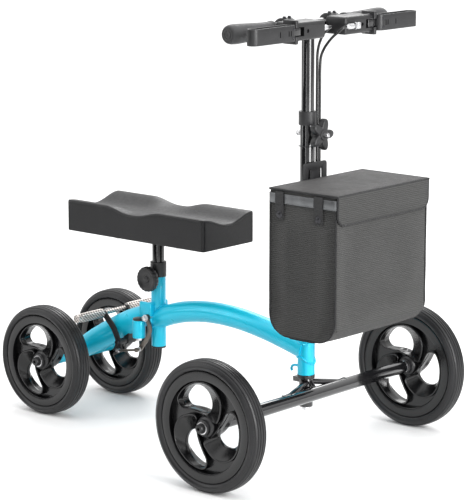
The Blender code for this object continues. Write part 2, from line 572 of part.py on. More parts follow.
def build_loop_lever(mats, side, word):
    """A brake loop in front of a grip, with a tab and a trunnion inside its housing."""
    upright = Matrix.Translation((0, 0, BAR_Z))
    band = 0.0030
    outer = [(x, side * y) for x, y in loop_outline(LOOP_BACK_X, LOOP_FRONT_X, LOOP_INNER, LOOP_OUTER)]
    inner = [(x, side * y) for x, y in loop_outline(LOOP_BACK_X + band, LOOP_FRONT_X - band,
                                                    LOOP_INNER + band, LOOP_OUTER - band)]
    lever = extruded(f"brake_loop_{word}", outer, LOOP_HEIGHT, upright, mats["black"])
    cut(lever, extruded(f"space_loop_{word}", inner, 2 * LOOP_HEIGHT, upright, None))
    low_y, high_y = sorted((side * (LEVER_PIVOT_Y - 0.0060), side * (LOOP_INNER + 0.0020)))
    pivot = Vector((LEVER_PIVOT_X, side * LEVER_PIVOT_Y, BAR_Z))
    weld(lever, block(f"tab_shape_{word}", (LEVER_PIVOT_X - 0.0060, low_y, BAR_Z - 0.0065),
                      (LEVER_PIVOT_X + 0.0060, high_y, BAR_Z + 0.0065), None),
         rod(f"trunnion_shape_{word}", 0.0030, pivot - Z_AXIS * 0.0125, pivot + Z_AXIS * 0.0125, None, 12))
    return [f"brake_loop_{word}"]


# ---------------------------------------------------------------- cables
def cable(name, points, pieces, material, radius=0.0025):
    """A cable as a curve through hand-picked places, with flat ends."""
    curve = bpy.data.curves.new(name, "CURVE")
    curve.dimensions = "3D"
    curve.bevel_depth = radius
    curve.bevel_resolution = 2
    curve.use_fill_caps = True
    route = smooth_route(points, pieces)
    spline = curve.splines.new("POLY")
    spline.points.add(len(route) - 1)
    for spot, place in zip(spline.points, route):
        spot.co = (*place, 1.0)
    curve.materials.append(material)
    item = bpy.data.objects.new(name, curve)
    bpy.context.scene.collection.objects.link(item)
    return item


CABLE_A = Vector((COLUMN_X + 0.0066, 0.0186, 0))       # beside the column, from the right loop
CABLE_B = Vector((COLUMN_X + 0.0122, 0.0198, 0))       # beside it, from the left loop
CABLE_SPLIT_Z = 0.7000
CABLE_GAP = 0.0007                # between the end faces of two lengths of cable
DOUBLER_FOOT, DOUBLER_TOP = 0.3980, 0.4340


def build_cables(mats):
    black = mats["cable"]
    doubler_at = Vector((COLUMN_X + 0.0090, 0.0215, 0))
    doubler = turned("cable_doubler", [(0, DOUBLER_FOOT), (0.0030, DOUBLER_FOOT), (0.0065, DOUBLER_FOOT + 0.005),
                                       (0.0068, DOUBLER_TOP - 0.004), (0.0060, DOUBLER_TOP), (0, DOUBLER_TOP)],
                     doubler_at, Z_AXIS, black, 16, ring=False)
    for label, line in (("a", CABLE_A), ("b", CABLE_B)):
        weld(doubler, rod(f"cable_run_{label}", 0.0025, line + Z_AXIS * (DOUBLER_TOP - 0.006),
                          line + Z_AXIS * CABLE_SPLIT_Z, None, 12))

    right_at = Vector((ADJUSTER_RIGHT_X, -0.0007, BAR_Z))
    right_stations = [(0.0400, 0.0110, 0.7955), (0.0300, 0.0140, 0.7895), (0.0200, 0.0165, 0.7795),
                      (0.0115, 0.0180, 0.7645), (0.0070, 0.0186, 0.7465)]
    cable("brake_cable_top_right",
          [right_at, right_at + Y_AXIS * 0.0067,
           *(Vector((COLUMN_X + x, y, z)) for x, y, z in right_stations),
           CABLE_A + Z_AXIS * (CABLE_SPLIT_Z + 0.0260), CABLE_A + Z_AXIS * (CABLE_SPLIT_Z + CABLE_GAP)], 3, black)
    left_at = Vector((ADJUSTER_LEFT_X, 0.0227, BAR_Z))
    left_stations = [(0.0660, 0.0130, 0.7945), (0.0580, 0.0105, 0.7875), (0.0470, 0.0120, 0.7795),
                     (0.0340, 0.0165, 0.7695), (0.0220, 0.0190, 0.7565), (0.0140, 0.0198, 0.7405)]
    cable("brake_cable_top_left",
          [left_at, left_at - Y_AXIS * 0.0045,
           *(Vector((COLUMN_X + x, y, z)) for x, y, z in left_stations),
           CABLE_B + Z_AXIS * (CABLE_SPLIT_Z + 0.0180), CABLE_B + Z_AXIS * (CABLE_SPLIT_Z + CABLE_GAP)], 3, black)

    side = MAIN_TUBE_RADIUS + 0.0030
    joint = Vector((REAR_AXLE_X + 0.5250, side, 0.2145))
    lead = Vector((-0.0400, 0, 0.0090)).normalized()
    cable("brake_cable_bend",
          [doubler_at + Z_AXIS * (DOUBLER_FOOT - CABLE_GAP), doubler_at + Z_AXIS * (DOUBLER_FOOT - 0.0100),
           doubler_at + Vector((0.0005, 0.0080, 0.3650)),
           Vector((COLUMN_X + 0.0060, 0.0400, 0.3250)), Vector((COLUMN_X - 0.0060, 0.0440, 0.2850)),
           Vector((COLUMN_X - 0.0180, 0.0360, 0.2450)), Vector((COLUMN_X - 0.0290, 0.0275, 0.2200)),
           joint - lead * 0.0110, joint - lead * CABLE_GAP], 3, black)
    along = [(0.4850, 0.2235), (0.4300, 0.2325), (0.3800, 0.2362), (0.3300, 0.2348), (0.2800, 0.2275),
             (0.2450, 0.2190)]
    cable("brake_cable_frame",
          [joint, joint + lead * 0.0110, *(Vector((REAR_AXLE_X + s, side, z)) for s, z in along),
           Vector((REAR_AXLE_X + 0.2250, side + 0.0040, 0.2160)),
           Vector((REAR_AXLE_X + 0.2150, side + 0.0072, 0.2160))], 2, black)
    return ["cable_doubler"]


# ---------------------------------------------------------------- wheels
def tyre_profile(radius, width, seat):
    """Half-round tread with flat sides, as (radius, height along the axle)."""
    half = width / 2
    right = [(seat, half * 0.78), (radius * 0.910, half), (radius * 0.970, half * 0.80), (radius, half * 0.22)]
    return right + [(r, -h) for r, h in reversed(right)]


def egg_outline(centre_radius, turn, long_half, short_half, tilt, count=10):
    """A spoke opening: an egg, its blunt end outwards, tilted from the radial line."""
    outline = []
    for index in range(count):
        a = 2 * math.pi * index / count
        u = long_half * math.cos(a)
        v = short_half * math.sin(a) * (1.0 + 0.28 * math.cos(a))
        x = centre_radius + u * math.cos(tilt) - v * math.sin(tilt)
        y = u * math.sin(tilt) + v * math.cos(tilt)
        outline.append((x * math.cos(turn) - y * math.sin(turn), x * math.sin(turn) + y * math.cos(turn)))
    return outline


def build_wheel(label, x, side, y, radius, width, mats):
    centre = Vector((x, side * y, radius))
    seat = radius * 0.845
    opening = radius * 0.680
    axis = Y_AXIS * side
    turned(f"tyre_{label}", tyre_profile(radius, width, seat), centre, axis, mats["rubber"], WHEEL_STEPS)
    rim_outer = seat - GAP
    half = width * 0.40
    web = 0.0065
    hub_half, hub_radius = HUB_LENGTH / 2, 0.0190
    right = [(AXLE_RADIUS + GAP, hub_half), (0.0150, hub_half), (hub_radius, web), (opening, web),
             (opening, half), (rim_outer, half)]
    profile = right + [(r, -h) for r, h in reversed(right)]
    rim = turned(f"rim_{label}", profile, centre, axis, mats["plastic"], WHEEL_STEPS)
    for spoke in range(3):
        turn = math.radians(90 + 120 * spoke)
        egg = egg_outline(radius * 0.435, turn, radius * 0.215, radius * 0.245, math.radians(32))
        cut(rim, extruded(f"space_egg_{label}_{spoke}", egg, 0.0300, frame_of(axis, centre), None))
    return [f"tyre_{label}", f"rim_{label}"]


# ---------------------------------------------------------------- knee rest
def smooth_step(low, high, value):
    """Rises smoothly from 0 at low to 1 at high."""
    share = min(1.0, max(0.0, (value - low) / (high - low)))
    return share * share * (3 - 2 * share)


def pad_height(u, v):
    """Depth of the two crossing channels at (u, v), each -1 to 1 over the cushion. They run out at its edges."""
    along = 1 - smooth_step(0.08, 0.95, abs(v))
    across = 0.72 * (1 - smooth_step(0.04, 0.40, abs(u + 0.03)))
    return PAD_CHANNEL_DEPTH * (along + across - along * across)


def build_knee_rest(mats):
    post = turned("seat_post", [(SEAT_POST_BORE, SEAT_POST_FOOT), (SEAT_POST_RADIUS, SEAT_POST_FOOT),
                                (SEAT_POST_RADIUS, SEAT_POST_TOP), (0, SEAT_POST_TOP), (0, SEAT_POST_TOP - 0.0030),
                                (SEAT_POST_BORE, SEAT_POST_TOP - 0.0030)],
                  at_height(SEAT_X, 0), Z_AXIS, mats["black"], ring=True)
    plate = block("seat_plate", (PAD_X - 0.0900, -0.0450, 0.3628), (PAD_X + 0.0900, 0.0450, 0.3677),
                  mats["black"], 0.001)
    shape = bmesh.new()
    rows, columns = 12, 24
    foot, top = PAD_TOP - PAD_HEIGHT, PAD_TOP
    upper = []
    for i in range(columns + 1):
        u = -1 + 2 * i / columns
        upper.append([])
        for j in range(rows + 1):
            v = -1 + 2 * j / rows
            upper[-1].append(shape.verts.new((PAD_X + u * PAD_LENGTH / 2, v * PAD_WIDTH / 2, top - pad_height(u, v))))
    for i in range(columns):
        for j in range(rows):
            shape.faces.new([upper[i][j], upper[i + 1][j], upper[i + 1][j + 1], upper[i][j + 1]])
    edge = [upper[i][0] for i in range(columns)] + [upper[columns][j] for j in range(rows)] \
        + [upper[i][rows] for i in range(columns, 0, -1)] + [upper[0][j] for j in range(rows, 0, -1)]
    lower = [shape.verts.new((spot.co.x, spot.co.y, foot)) for spot in edge]
    for index in range(len(edge)):
        after = (index + 1) % len(edge)
        shape.faces.new([edge[index], edge[after], lower[after], lower[index]])
    shape.faces.new(lower)
    add_object("seat_pad", shape, mats["vinyl"])
    return [post.name, plate.name, "seat_pad"]


def build_seat_knob(mats):
    at = at_height(SEAT_X, SEAT_KNOB_Z)
    profile = [(0, 0.0126), (0.0040, 0.0126), (0.0040, 0.0228), (0.0100, 0.0228), (0.0120, 0.0245),
               (0.0228, 0.0252), (0.0243, 0.0270), (0.0243, 0.0345), (0.0225, 0.0365), (0.0150, 0.0375),
               (0, 0.0375)]
    turned("seat_knob", profile, at, SEAT_KNOB_AXIS, mats["black"], 20, ring=False)
    return ["seat_knob"]


# ---------------------------------------------------------------- rear brake
def build_brake(mats):
    black, steel = mats["black"], mats["steel"]
    yoke = rod("brake_yoke", 0.0040, BRAKE_PIVOT - Y_AXIS * 0.0360, BRAKE_PIVOT + Y_AXIS * 0.0360, black, 14)
    for side in (-1, 1):
        weld(yoke, rod(f"yoke_sleeve_{side}", 0.0062, BRAKE_PIVOT + Y_AXIS * side * 0.0125,
                       BRAKE_PIVOT + Y_AXIS * side * 0.0325, None, 14))
        strip = smooth_route([BRAKE_BAR, BRAKE_BAR + Vector((0.0110, 0, -0.0110)),
                              BRAKE_BAR + Vector((0.0270, 0, -0.0280)), BRAKE_PIVOT], 2)
        outline = strip_outline(strip, 0.0062)
        weld(yoke, extruded(f"strip_shape_{side}", outline, 0.0040, side_view(side * 0.0310), None))
    tail = strip_outline([BRAKE_PIVOT, BRAKE_LINK_PIN], 0.0050)
    weld(yoke, extruded("yoke_tail_shape", tail, 0.0030, side_view(-0.0310), None))
    cut(yoke, rod("space_yoke_bar", 0.0043, BRAKE_BAR - Y_AXIS * 0.05, BRAKE_BAR + Y_AXIS * 0.05, None, 14))

    profile = [(0, -0.1080), (0.0085, -0.1080), (0.0090, -0.1070), (0.0090, -0.0345), (0.0040, -0.0343),
               (0.0040, 0.0343), (0.0090, 0.0345), (0.0090, 0.1070), (0.0085, 0.1080), (0, 0.1080)]
    turned("brake_bar", profile, BRAKE_BAR, Y_AXIS, steel, 16, ring=False)

    pull_y = -0.0325
    lever_points = [PULL_LEVER_PIVOT, PULL_LEVER_PIVOT + Vector((0.0075, 0, -0.0190)),
                    PULL_LEVER_PIVOT + Vector((0.0020, 0, -0.0390)),
                    PULL_LEVER_PIVOT + Vector((-0.0100, 0, -0.0540)), PULL_LEVER_TAIL]
    lever = extruded("pull_lever", strip_outline(smooth_route(lever_points, 2), 0.0045), 0.0045,
                     side_view(pull_y), black)
    weld(lever, rod("pull_shaft_shape", 0.0040, PULL_LEVER_PIVOT + Y_AXIS * (pull_y - 0.0045),
                    PULL_LEVER_PIVOT - Y_AXIS * 0.0155, None, 14),
         rod("pull_boss_shape", 0.0068, PULL_LEVER_PIVOT + Y_AXIS * (pull_y - 0.0040),
             PULL_LEVER_PIVOT - Y_AXIS * 0.0290, None, 14))

    start = BRAKE_LINK_PIN + Vector((0, -0.0065, 0))
    end = Vector((PULL_LEVER_TAIL.x, BRAKE_LINK_PIN.y - 0.0110, PULL_LEVER_TAIL.z))
    link = rod("brake_link", 0.0024, start, end, steel, 10)
    weld(link, rod("link_pin_shape", 0.0040, BRAKE_LINK_PIN + Y_AXIS * -0.0014, start - Y_AXIS * 0.0030, None, 12))
    return ["brake_yoke", "brake_bar"], ["pull_lever"], ["brake_link"]


def strip_outline(route, half):
    """The outline of a flat strip of constant width with round ends, as (x, z) points."""
    left, right = [], []
    for index, place in enumerate(route):
        ahead = (route[min(index + 1, len(route) - 1)] - route[max(index - 1, 0)]).normalized()
        normal = Vector((-ahead.z, 0, ahead.x))
        left.append(place + normal * half)
        right.append(place - normal * half)
    def cap(centre, start, turn):
        steps = (1, 2, 3)
        return [centre + Matrix.Rotation(turn * math.radians(45 * s), 3, "Y") @ (start - centre) for s in steps]
    points = left + cap(route[-1], left[-1], 1) + right[::-1] + cap(route[0], right[0], 1)
    return [(p.x, p.z) for p in points]


# ---------------------------------------------------------------- assembly
def make_body(name, at, names, parent=None):
    """An empty on the joint's axis, with the body's pieces as its children."""
    empty = bpy.data.objects.new("body_" + name, None)
    bpy.context.scene.collection.objects.link(empty)
    empty.empty_display_size = 0.02
    empty.location = at
    bpy.context.view_layer.update()
    if parent:
        empty.parent = parent
        empty.matrix_parent_inverse = parent.matrix_world.inverted()
        bpy.context.view_layer.update()
    for piece in names:
        item = bpy.data.objects[piece]
        item.parent = empty
        item.matrix_parent_inverse = empty.matrix_world.inverted()
    return empty


def build_scooter():
    mats = {"blue": paint("blue paint", (0.03, 0.42, 0.66), 0.25),
            "black": paint("black paint", (0.02, 0.02, 0.022), 0.35),
            "steel": paint("zinc steel", (0.55, 0.55, 0.56), 0.35, 1.0),
            "rubber": paint("rubber", (0.035, 0.035, 0.037), 0.75),
            "plastic": paint("black plastic", (0.02, 0.02, 0.022), 0.40),
            "vinyl": paint("vinyl", (0.03, 0.03, 0.033), 0.50),
            "fabric": paint("bag fabric", (0.045, 0.046, 0.05), 0.85),
            "cable": paint("cable jacket", (0.015, 0.015, 0.016), 0.45)}
    frame_names = build_frame(mats)
    steering_names = build_steering(mats)
    rear_tube_end = REAR_WHEEL_Y - HUB_LENGTH / 2 - 0.0050
    front_tube_end = FRONT_WHEEL_Y - HUB_LENGTH / 2 - 0.0050
    wheels = {}
    for side, word in ((1, "left"), (-1, "right")):
        axle_bolt(f"rear_axle_bolt_{word}", REAR_AXLE_X, side, REAR_WHEEL_Y, REAR_WHEEL_RADIUS, rear_tube_end,
                  mats["steel"])
        axle_bolt(f"front_axle_bolt_{word}", FRONT_AXLE_X, side, FRONT_WHEEL_Y, FRONT_WHEEL_RADIUS,
                  front_tube_end, mats["steel"])
        frame_names.append(f"rear_axle_bolt_{word}")
        steering_names.append(f"front_axle_bolt_{word}")
        wheels[f"rear_{word}"] = build_wheel(f"rear_{word}", REAR_AXLE_X, side, REAR_WHEEL_Y,
                                             REAR_WHEEL_RADIUS, REAR_TYRE_WIDTH, mats)
        wheels[f"front_{word}"] = build_wheel(f"front_{word}", FRONT_AXLE_X, side, FRONT_WHEEL_Y,
                                              FRONT_WHEEL_RADIUS, FRONT_TYRE_WIDTH, mats)
    column_names = build_column(mats) + build_bag(mats) + build_cables(mats)
    frame_names.append("brake_cable_frame")
    handlebar_names = build_handlebar(mats) + ["brake_cable_top_left", "brake_cable_top_right"]
    brake_names, pull_names, link_names = build_brake(mats)

    frame = make_body("frame", (0, 0, 0), frame_names)
    steering = make_body("steering", at_height(COLUMN_X, 0.15), steering_names, frame)
    column = make_body("column", at_height(COLUMN_X, FOLD_PIN_Z), column_names + ["brake_cable_bend"], steering)
    make_body("fold_lever", at_height(COLUMN_X, FOLD_PIN_Z, -0.0245), build_fold_lever(mats), column)
    make_body("star_knob", at_height(COLUMN_X, STAR_KNOB_Z), build_star_knob(mats), column)
    make_body("bag_lid", at_height(BAG_BACK_X, LID_TOP), build_lid(mats), column)
    handlebar = make_body("handlebar", at_height(COLUMN_X, BAR_Z), handlebar_names, column)
    for side, word in ((1, "left"), (-1, "right")):
        make_body(f"loop_{word}", Vector((LEVER_PIVOT_X, side * LEVER_PIVOT_Y, BAR_Z)),
                  build_loop_lever(mats, side, word), handlebar)
        make_body(f"wheel_front_{word}", (FRONT_AXLE_X, side * FRONT_WHEEL_Y, FRONT_WHEEL_RADIUS),
                  wheels[f"front_{word}"], steering)
        make_body(f"wheel_rear_{word}", (REAR_AXLE_X, side * REAR_WHEEL_Y, REAR_WHEEL_RADIUS),
                  wheels[f"rear_{word}"], frame)
    make_body("knee_rest", at_height(SEAT_X, SEAT_POST_FOOT), build_knee_rest(mats), frame)
    make_body("seat_knob", at_height(SEAT_X, SEAT_KNOB_Z), build_seat_knob(mats), frame)
    brake = make_body("brake", BRAKE_PIVOT, brake_names, frame)
    make_body("pull_lever", PULL_LEVER_PIVOT, pull_names, frame)
    make_body("brake_link", BRAKE_LINK_PIN, link_names, brake)


def clear_scene():
    for item in list(bpy.data.objects):
        bpy.data.objects.remove(item, do_unlink=True)


clear_scene()
build_scooter()
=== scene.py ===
"""The looks of a knee scooter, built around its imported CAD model.

Metres, in the CAD model's frame: forward is +X, the rider's left is +Y, and the floor is z = 0.
Each piece is made in place, rides on a CAD body, and stands for the CAD nodes that it replaces.
"""

import json
import math

import bmesh
import bpy
from mathutils import Matrix, Vector, noise


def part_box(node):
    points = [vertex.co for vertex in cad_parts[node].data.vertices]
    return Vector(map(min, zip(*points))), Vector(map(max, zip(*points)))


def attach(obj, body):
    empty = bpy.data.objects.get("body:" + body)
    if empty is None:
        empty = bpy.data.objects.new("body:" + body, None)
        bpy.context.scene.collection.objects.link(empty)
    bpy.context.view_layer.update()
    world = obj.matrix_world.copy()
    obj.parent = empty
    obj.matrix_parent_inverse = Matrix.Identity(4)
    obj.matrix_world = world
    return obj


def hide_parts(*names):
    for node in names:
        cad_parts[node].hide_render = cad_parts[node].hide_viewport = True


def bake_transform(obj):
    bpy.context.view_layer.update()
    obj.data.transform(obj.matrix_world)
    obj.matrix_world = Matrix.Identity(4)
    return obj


HEX_CORNER = 0.577               # a hexagon's corner radius for each unit across its flats
X_AXIS, Y_AXIS, Z_AXIS = Vector((1, 0, 0)), Vector((0, 1, 0)), Vector((0, 0, 1))
SIDES = ((1, "left"), (-1, "right"))

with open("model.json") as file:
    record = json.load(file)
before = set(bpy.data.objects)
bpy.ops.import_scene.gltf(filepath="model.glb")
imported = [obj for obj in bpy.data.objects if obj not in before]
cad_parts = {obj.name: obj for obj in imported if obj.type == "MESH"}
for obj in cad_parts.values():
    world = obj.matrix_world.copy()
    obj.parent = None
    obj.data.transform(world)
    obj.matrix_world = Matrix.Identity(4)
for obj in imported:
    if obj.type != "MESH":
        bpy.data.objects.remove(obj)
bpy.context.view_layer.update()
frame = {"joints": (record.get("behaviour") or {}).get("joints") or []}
PIVOTS = {joint["child"]: Vector(joint["pos_m"]) for joint in frame["joints"] if "pos_m" in joint}
AXES = {joint["child"]: Vector(joint["axis"]) for joint in frame["joints"]}


def low_of(node):
    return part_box(node)[0]


def high_of(node):
    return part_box(node)[1]


def middle_of(node):
    low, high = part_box(node)
    return (low + high) / 2


COLUMN_X = PIVOTS["column"].x
SEAT_X = middle_of("seat_tube").x
BAR_Z = middle_of("handlebar").z


# ---------------------------------------------------------------- materials
class Paint:
    """A Principled material with short names for the nodes that its pattern needs."""

    def __init__(self, name, colour, roughness, metallic=0.0, coat=0.0, sheen=0.0, shine=0.5):
        self.material = bpy.data.materials.new(name)
        self.material.use_nodes = True
        self.tree = self.material.node_tree
        self.shader = self.tree.nodes["Principled BSDF"]
        self.colour = colour
        self.shader.inputs["Base Color"].default_value = (*colour, 1)
        self.shader.inputs["Roughness"].default_value = roughness
        self.shader.inputs["Metallic"].default_value = metallic
        self.shader.inputs["Specular IOR Level"].default_value = shine
        self.shader.inputs["Coat Weight"].default_value = coat
        self.shader.inputs["Coat Roughness"].default_value = 0.08
        self.shader.inputs["Sheen Weight"].default_value = sheen
        self.place = self.add("ShaderNodeTexCoord").outputs["Object"]

    def add(self, kind, **settings):
        node = self.tree.nodes.new(kind)
        for key, value in settings.items():
            setattr(node, key, value)
        return node

    def link(self, source, target):
        self.tree.links.new(source, target)

    def scaled(self, factors):
        """The place in the object, stretched by factors along x, y and z."""
        node = self.add("ShaderNodeMapping")
        node.inputs["Scale"].default_value = factors
        self.link(self.place, node.inputs["Vector"])
        return node.outputs["Vector"]

    def noise(self, scale, detail=3.0, factors=(1, 1, 1)):
        node = self.add("ShaderNodeTexNoise")
        node.inputs["Scale"].default_value = scale
        node.inputs["Detail"].default_value = detail
        self.link(self.scaled(factors), node.inputs["Vector"])
        return node.outputs["Fac"]

    def cells(self, scale, feature="F1", factors=(1, 1, 1)):
        node = self.add("ShaderNodeTexVoronoi", feature=feature)
        node.inputs["Scale"].default_value = scale
        self.link(self.scaled(factors), node.inputs["Vector"])
        return node.outputs["Distance"]

    def bands(self, direction, pitch):
        """Smooth ribs across the x, y or z direction, one for each pitch."""
        node = self.add("ShaderNodeTexWave", bands_direction=direction)
        node.inputs["Scale"].default_value = 0.314 / pitch
        self.link(self.place, node.inputs["Vector"])
        return node.outputs["Fac"]

    def math(self, operation, first, second):
        node = self.add("ShaderNodeMath", operation=operation)
        for socket, value in zip(node.inputs, (first, second)):
            if isinstance(value, (int, float)):
                socket.default_value = value
            else:
                self.link(value, socket)
        return node.outputs[0]

    def spread(self, source, low, high, start=0.3, end=0.7):
        """Turns a 0 to 1 pattern into a value from low to high."""
        node = self.add("ShaderNodeMapRange")
        node.inputs["From Min"].default_value = start
        node.inputs["From Max"].default_value = end
        node.inputs["To Min"].default_value = low
        node.inputs["To Max"].default_value = high
        self.link(source, node.inputs["Value"])
        return node.outputs["Result"]

    def vary_colour(self, source, dark, light, start=0.3, end=0.7):
        """The base colour runs from dark to light times the plain colour, with the pattern."""
        ramp = self.add("ShaderNodeValToRGB")
        ramp.color_ramp.elements[0].position = start
        ramp.color_ramp.elements[1].position = end
        ramp.color_ramp.elements[0].color = (*(c * dark for c in self.colour), 1)
        ramp.color_ramp.elements[1].color = (*(min(1, c * light) for c in self.colour), 1)
        self.link(source, ramp.inputs["Fac"])
        self.link(ramp.outputs["Color"], self.shader.inputs["Base Color"])
        return self

    def vary_roughness(self, source, low, high):
        self.link(self.spread(source, low, high), self.shader.inputs["Roughness"])
        return self

    def bump(self, source, depth, strength=1.0):
        node = self.add("ShaderNodeBump")
        node.inputs["Strength"].default_value = strength
        node.inputs["Distance"].default_value = depth
        self.link(source, node.inputs["Height"])
        self.link(node.outputs["Normal"], self.shader.inputs["Normal"])
        return self


def gloss_paint(name, colour, roughness, metallic=0.0, coat=0.8):
    """Stove-enamelled tube: a faint orange peel under a clear coat, and slightly uneven gloss."""
    paint = Paint(name, colour, roughness, metallic, coat)
    paint.vary_colour(paint.noise(9, 2), 0.94, 1.05)
    paint.vary_roughness(paint.noise(45, 4), roughness * 0.8, roughness * 1.3)
    paint.bump(paint.noise(260, 2), 0.00003)
    return paint.material


def moulded_plastic(name, colour, roughness):
    """Spark-textured black plastic, a little greyer where it's rubbed."""
    paint = Paint(name, colour, roughness)
    paint.vary_colour(paint.noise(30, 4), 0.8, 1.35)
    paint.vary_roughness(paint.noise(60, 3), roughness * 0.85, roughness * 1.2)
    paint.bump(paint.noise(1800, 3), 0.00010)
    return paint.material


def plated_steel(name, colour, roughness, factors=(1, 1, 1)):
    """Zinc plate with fine drawn lines along one direction and a few dull blotches."""
    paint = Paint(name, colour, roughness, metallic=1.0)
    paint.vary_colour(paint.noise(60, 5), 0.82, 1.1)
    paint.vary_roughness(paint.noise(500, 4, factors), roughness * 0.7, roughness * 1.5)
    paint.bump(paint.noise(900, 3, factors), 0.00004)
    return paint.material


def tyre_rubber():
    paint = Paint("tyre rubber", (0.010, 0.010, 0.011), 0.36, shine=0.42)
    paint.vary_colour(paint.noise(26, 6), 0.75, 1.45)
    paint.vary_roughness(paint.noise(90, 4), 0.32, 0.44)
    paint.bump(paint.noise(1300, 4), 0.00012)
    return paint.material


def soft_rubber():
    """The grips: fine raised ribs along and across, and a dull bloom."""
    paint = Paint("grip rubber", (0.040, 0.040, 0.042), 0.50, sheen=0.10)
    paint.vary_colour(paint.noise(40, 5), 0.8, 1.3)
    ribs = paint.math("ADD", paint.bands("Y", 0.0016), paint.bands("Z", 0.0016))
    paint.bump(paint.math("ADD", ribs, paint.noise(900, 3)), 0.00010)
    paint.vary_roughness(paint.noise(120, 3), 0.45, 0.65)
    return paint.material


def grained_vinyl():
    """Upholstery vinyl: pebbled grain of about a millimetre, with fine creases between the pebbles."""
    paint = Paint("vinyl", (0.010, 0.010, 0.011), 0.36, shine=0.34)
    paint.vary_colour(paint.noise(14, 5), 0.82, 1.25)
    pebbles = paint.cells(850, "SMOOTH_F1")
    creases = paint.noise(160, 6)
    paint.bump(paint.math("ADD", pebbles, paint.math("MULTIPLY", creases, 0.6)), 0.00022, 0.8)
    paint.vary_roughness(paint.noise(200, 4), 0.33, 0.46)
    return paint.material


def bag_cloth(name, colour, pitch):
    """A plain weave: ribs lie level on every panel, and thinner threads cross them."""
    paint = Paint(name, colour, 0.62, sheen=0.08, shine=0.40)
    ribs = paint.bands("Z", pitch)
    threads = paint.math("ADD", paint.math("MULTIPLY", paint.bands("X", pitch * 0.9), 0.40),
                         paint.math("MULTIPLY", paint.bands("Y", pitch * 0.9), 0.75))
    weave = paint.math("ADD", ribs, threads)
    uneven = paint.noise(75, 5, (1, 1, 4))
    paint.vary_colour(paint.math("ADD", paint.math("MULTIPLY", weave, 0.30),
                                 paint.math("MULTIPLY", uneven, 0.55)),
                      0.30, 1.90, 0.30, 0.80)
    paint.bump(paint.math("ADD", weave, paint.math("MULTIPLY", uneven, 0.5)), 0.00045)
    paint.vary_roughness(uneven, 0.58, 0.78)
    return paint.material


def webbing():
    paint = Paint("webbing", (0.012, 0.012, 0.013), 0.7, sheen=0.15)
    paint.vary_colour(paint.noise(300, 4), 0.7, 1.4)
    paint.bump(paint.math("ADD", paint.bands("Z", 0.0012), paint.bands("X", 0.0018)), 0.00025)
    return paint.material


def knurled_steel():
    """Rolled steel with a fine crossed knurl."""
    paint = Paint("knurled steel", (0.44, 0.41, 0.39), 0.34, metallic=1.0)
    knurl = paint.math("ADD", paint.bands("DIAGONAL", 0.0034),
                       paint.math("MULTIPLY", paint.bands("Z", 0.0030), 1.0))
    # The colour follows the knurl, lighter on its ridges and darker in its grooves: painted highlight and
    # painted shade. The noise adds random tone.
    paint.vary_colour(paint.math("ADD", paint.math("MULTIPLY", knurl, 0.4),
                                 paint.math("MULTIPLY", paint.noise(80, 5), 0.3)),
                      0.25, 1.60)
    paint.bump(knurl, 0.00030)
    paint.vary_roughness(paint.noise(200, 4), 0.25, 0.48)
    return paint.material


MATERIALS = {
    "blue": gloss_paint("blue enamel", (0.004, 0.700, 1.000), 0.34, 0.15, 0.30),
    "black": gloss_paint("black enamel", (0.008, 0.008, 0.009), 0.14),
    "satin": moulded_plastic("satin black", (0.013, 0.013, 0.014), 0.40),
    "plastic": moulded_plastic("black plastic", (0.014, 0.014, 0.015), 0.30),
    "rim": moulded_plastic("rim plastic", (0.0045, 0.0045, 0.005), 0.15),
    "gloss": moulded_plastic("gloss plastic", (0.005, 0.005, 0.006), 0.14),
    "steel": plated_steel("zinc steel", (0.66, 0.66, 0.67), 0.26, (6, 1, 6)),
    "dull": plated_steel("dull steel", (0.06, 0.06, 0.065), 0.36),
    "bronze": plated_steel("dark lever steel", (0.15, 0.135, 0.12), 0.34),
    "strip": plated_steel("brushed strip", (0.17, 0.175, 0.18), 0.38, (1, 1, 9)),
    "knurl": knurled_steel(),
    "tyre": tyre_rubber(),
    "grip": soft_rubber(),
    "vinyl": grained_vinyl(),
    "cloth": bag_cloth("bag cloth", (0.033, 0.033, 0.032), 0.0034),
    # The lid's top is the bag's cloth made darker, while its flap keeps the bag cloth: painted shade on the
    # lid's top.
    "lid": bag_cloth("lid cloth with painted shade", (0.021, 0.020, 0.020), 0.0026),
    "piping": bag_cloth("piping", (0.012, 0.012, 0.013), 0.0011),
    "lining": bag_cloth("lining", (0.020, 0.020, 0.024), 0.0008),
    "webbing": webbing(),
    "jacket": moulded_plastic("cable jacket", (0.010, 0.010, 0.011), 0.20),
}


# ---------------------------------------------------------------- shapes
def at_height(x, z, y=0.0):
    return Vector((x, y, z))


def on_column(z, y=0.0):
    return Vector((COLUMN_X, y, z))


def add_piece(name, shape, material, smooth=38):
    """A mesh piece from a bmesh, facing outwards, with its sharp edges kept."""
    bmesh.ops.recalc_face_normals(shape, faces=shape.faces)
    mesh = bpy.data.meshes.new(name)
    shape.to_mesh(mesh)
    shape.free()
    mesh.shade_smooth()
    mesh.set_sharp_from_angle(angle=math.radians(smooth))
    mesh.materials.append(MATERIALS[material])
    piece = bpy.data.objects.new(name, mesh)
    bpy.context.scene.collection.objects.link(piece)
    return piece


def settle(piece, smooth=38):
    """Applies the piece's modifiers and shades the result smooth."""
    evaluated = piece.evaluated_get(bpy.context.evaluated_depsgraph_get())
    mesh = bpy.data.meshes.new_from_object(evaluated)
    old = piece.data
    piece.modifiers.clear()
    piece.data = mesh
    mesh.name = piece.name
    mesh.shade_smooth()
    mesh.set_sharp_from_angle(angle=math.radians(smooth))
    if old.users == 0:
        bpy.data.meshes.remove(old)
    return piece


def bevelled(piece, width, segments=2):
    modifier = piece.modifiers.new("Bevel", "BEVEL")
    modifier.width = width
    modifier.segments = segments
    modifier.limit_method = "ANGLE"
    modifier.angle_limit = math.radians(40)
    return settle(piece)


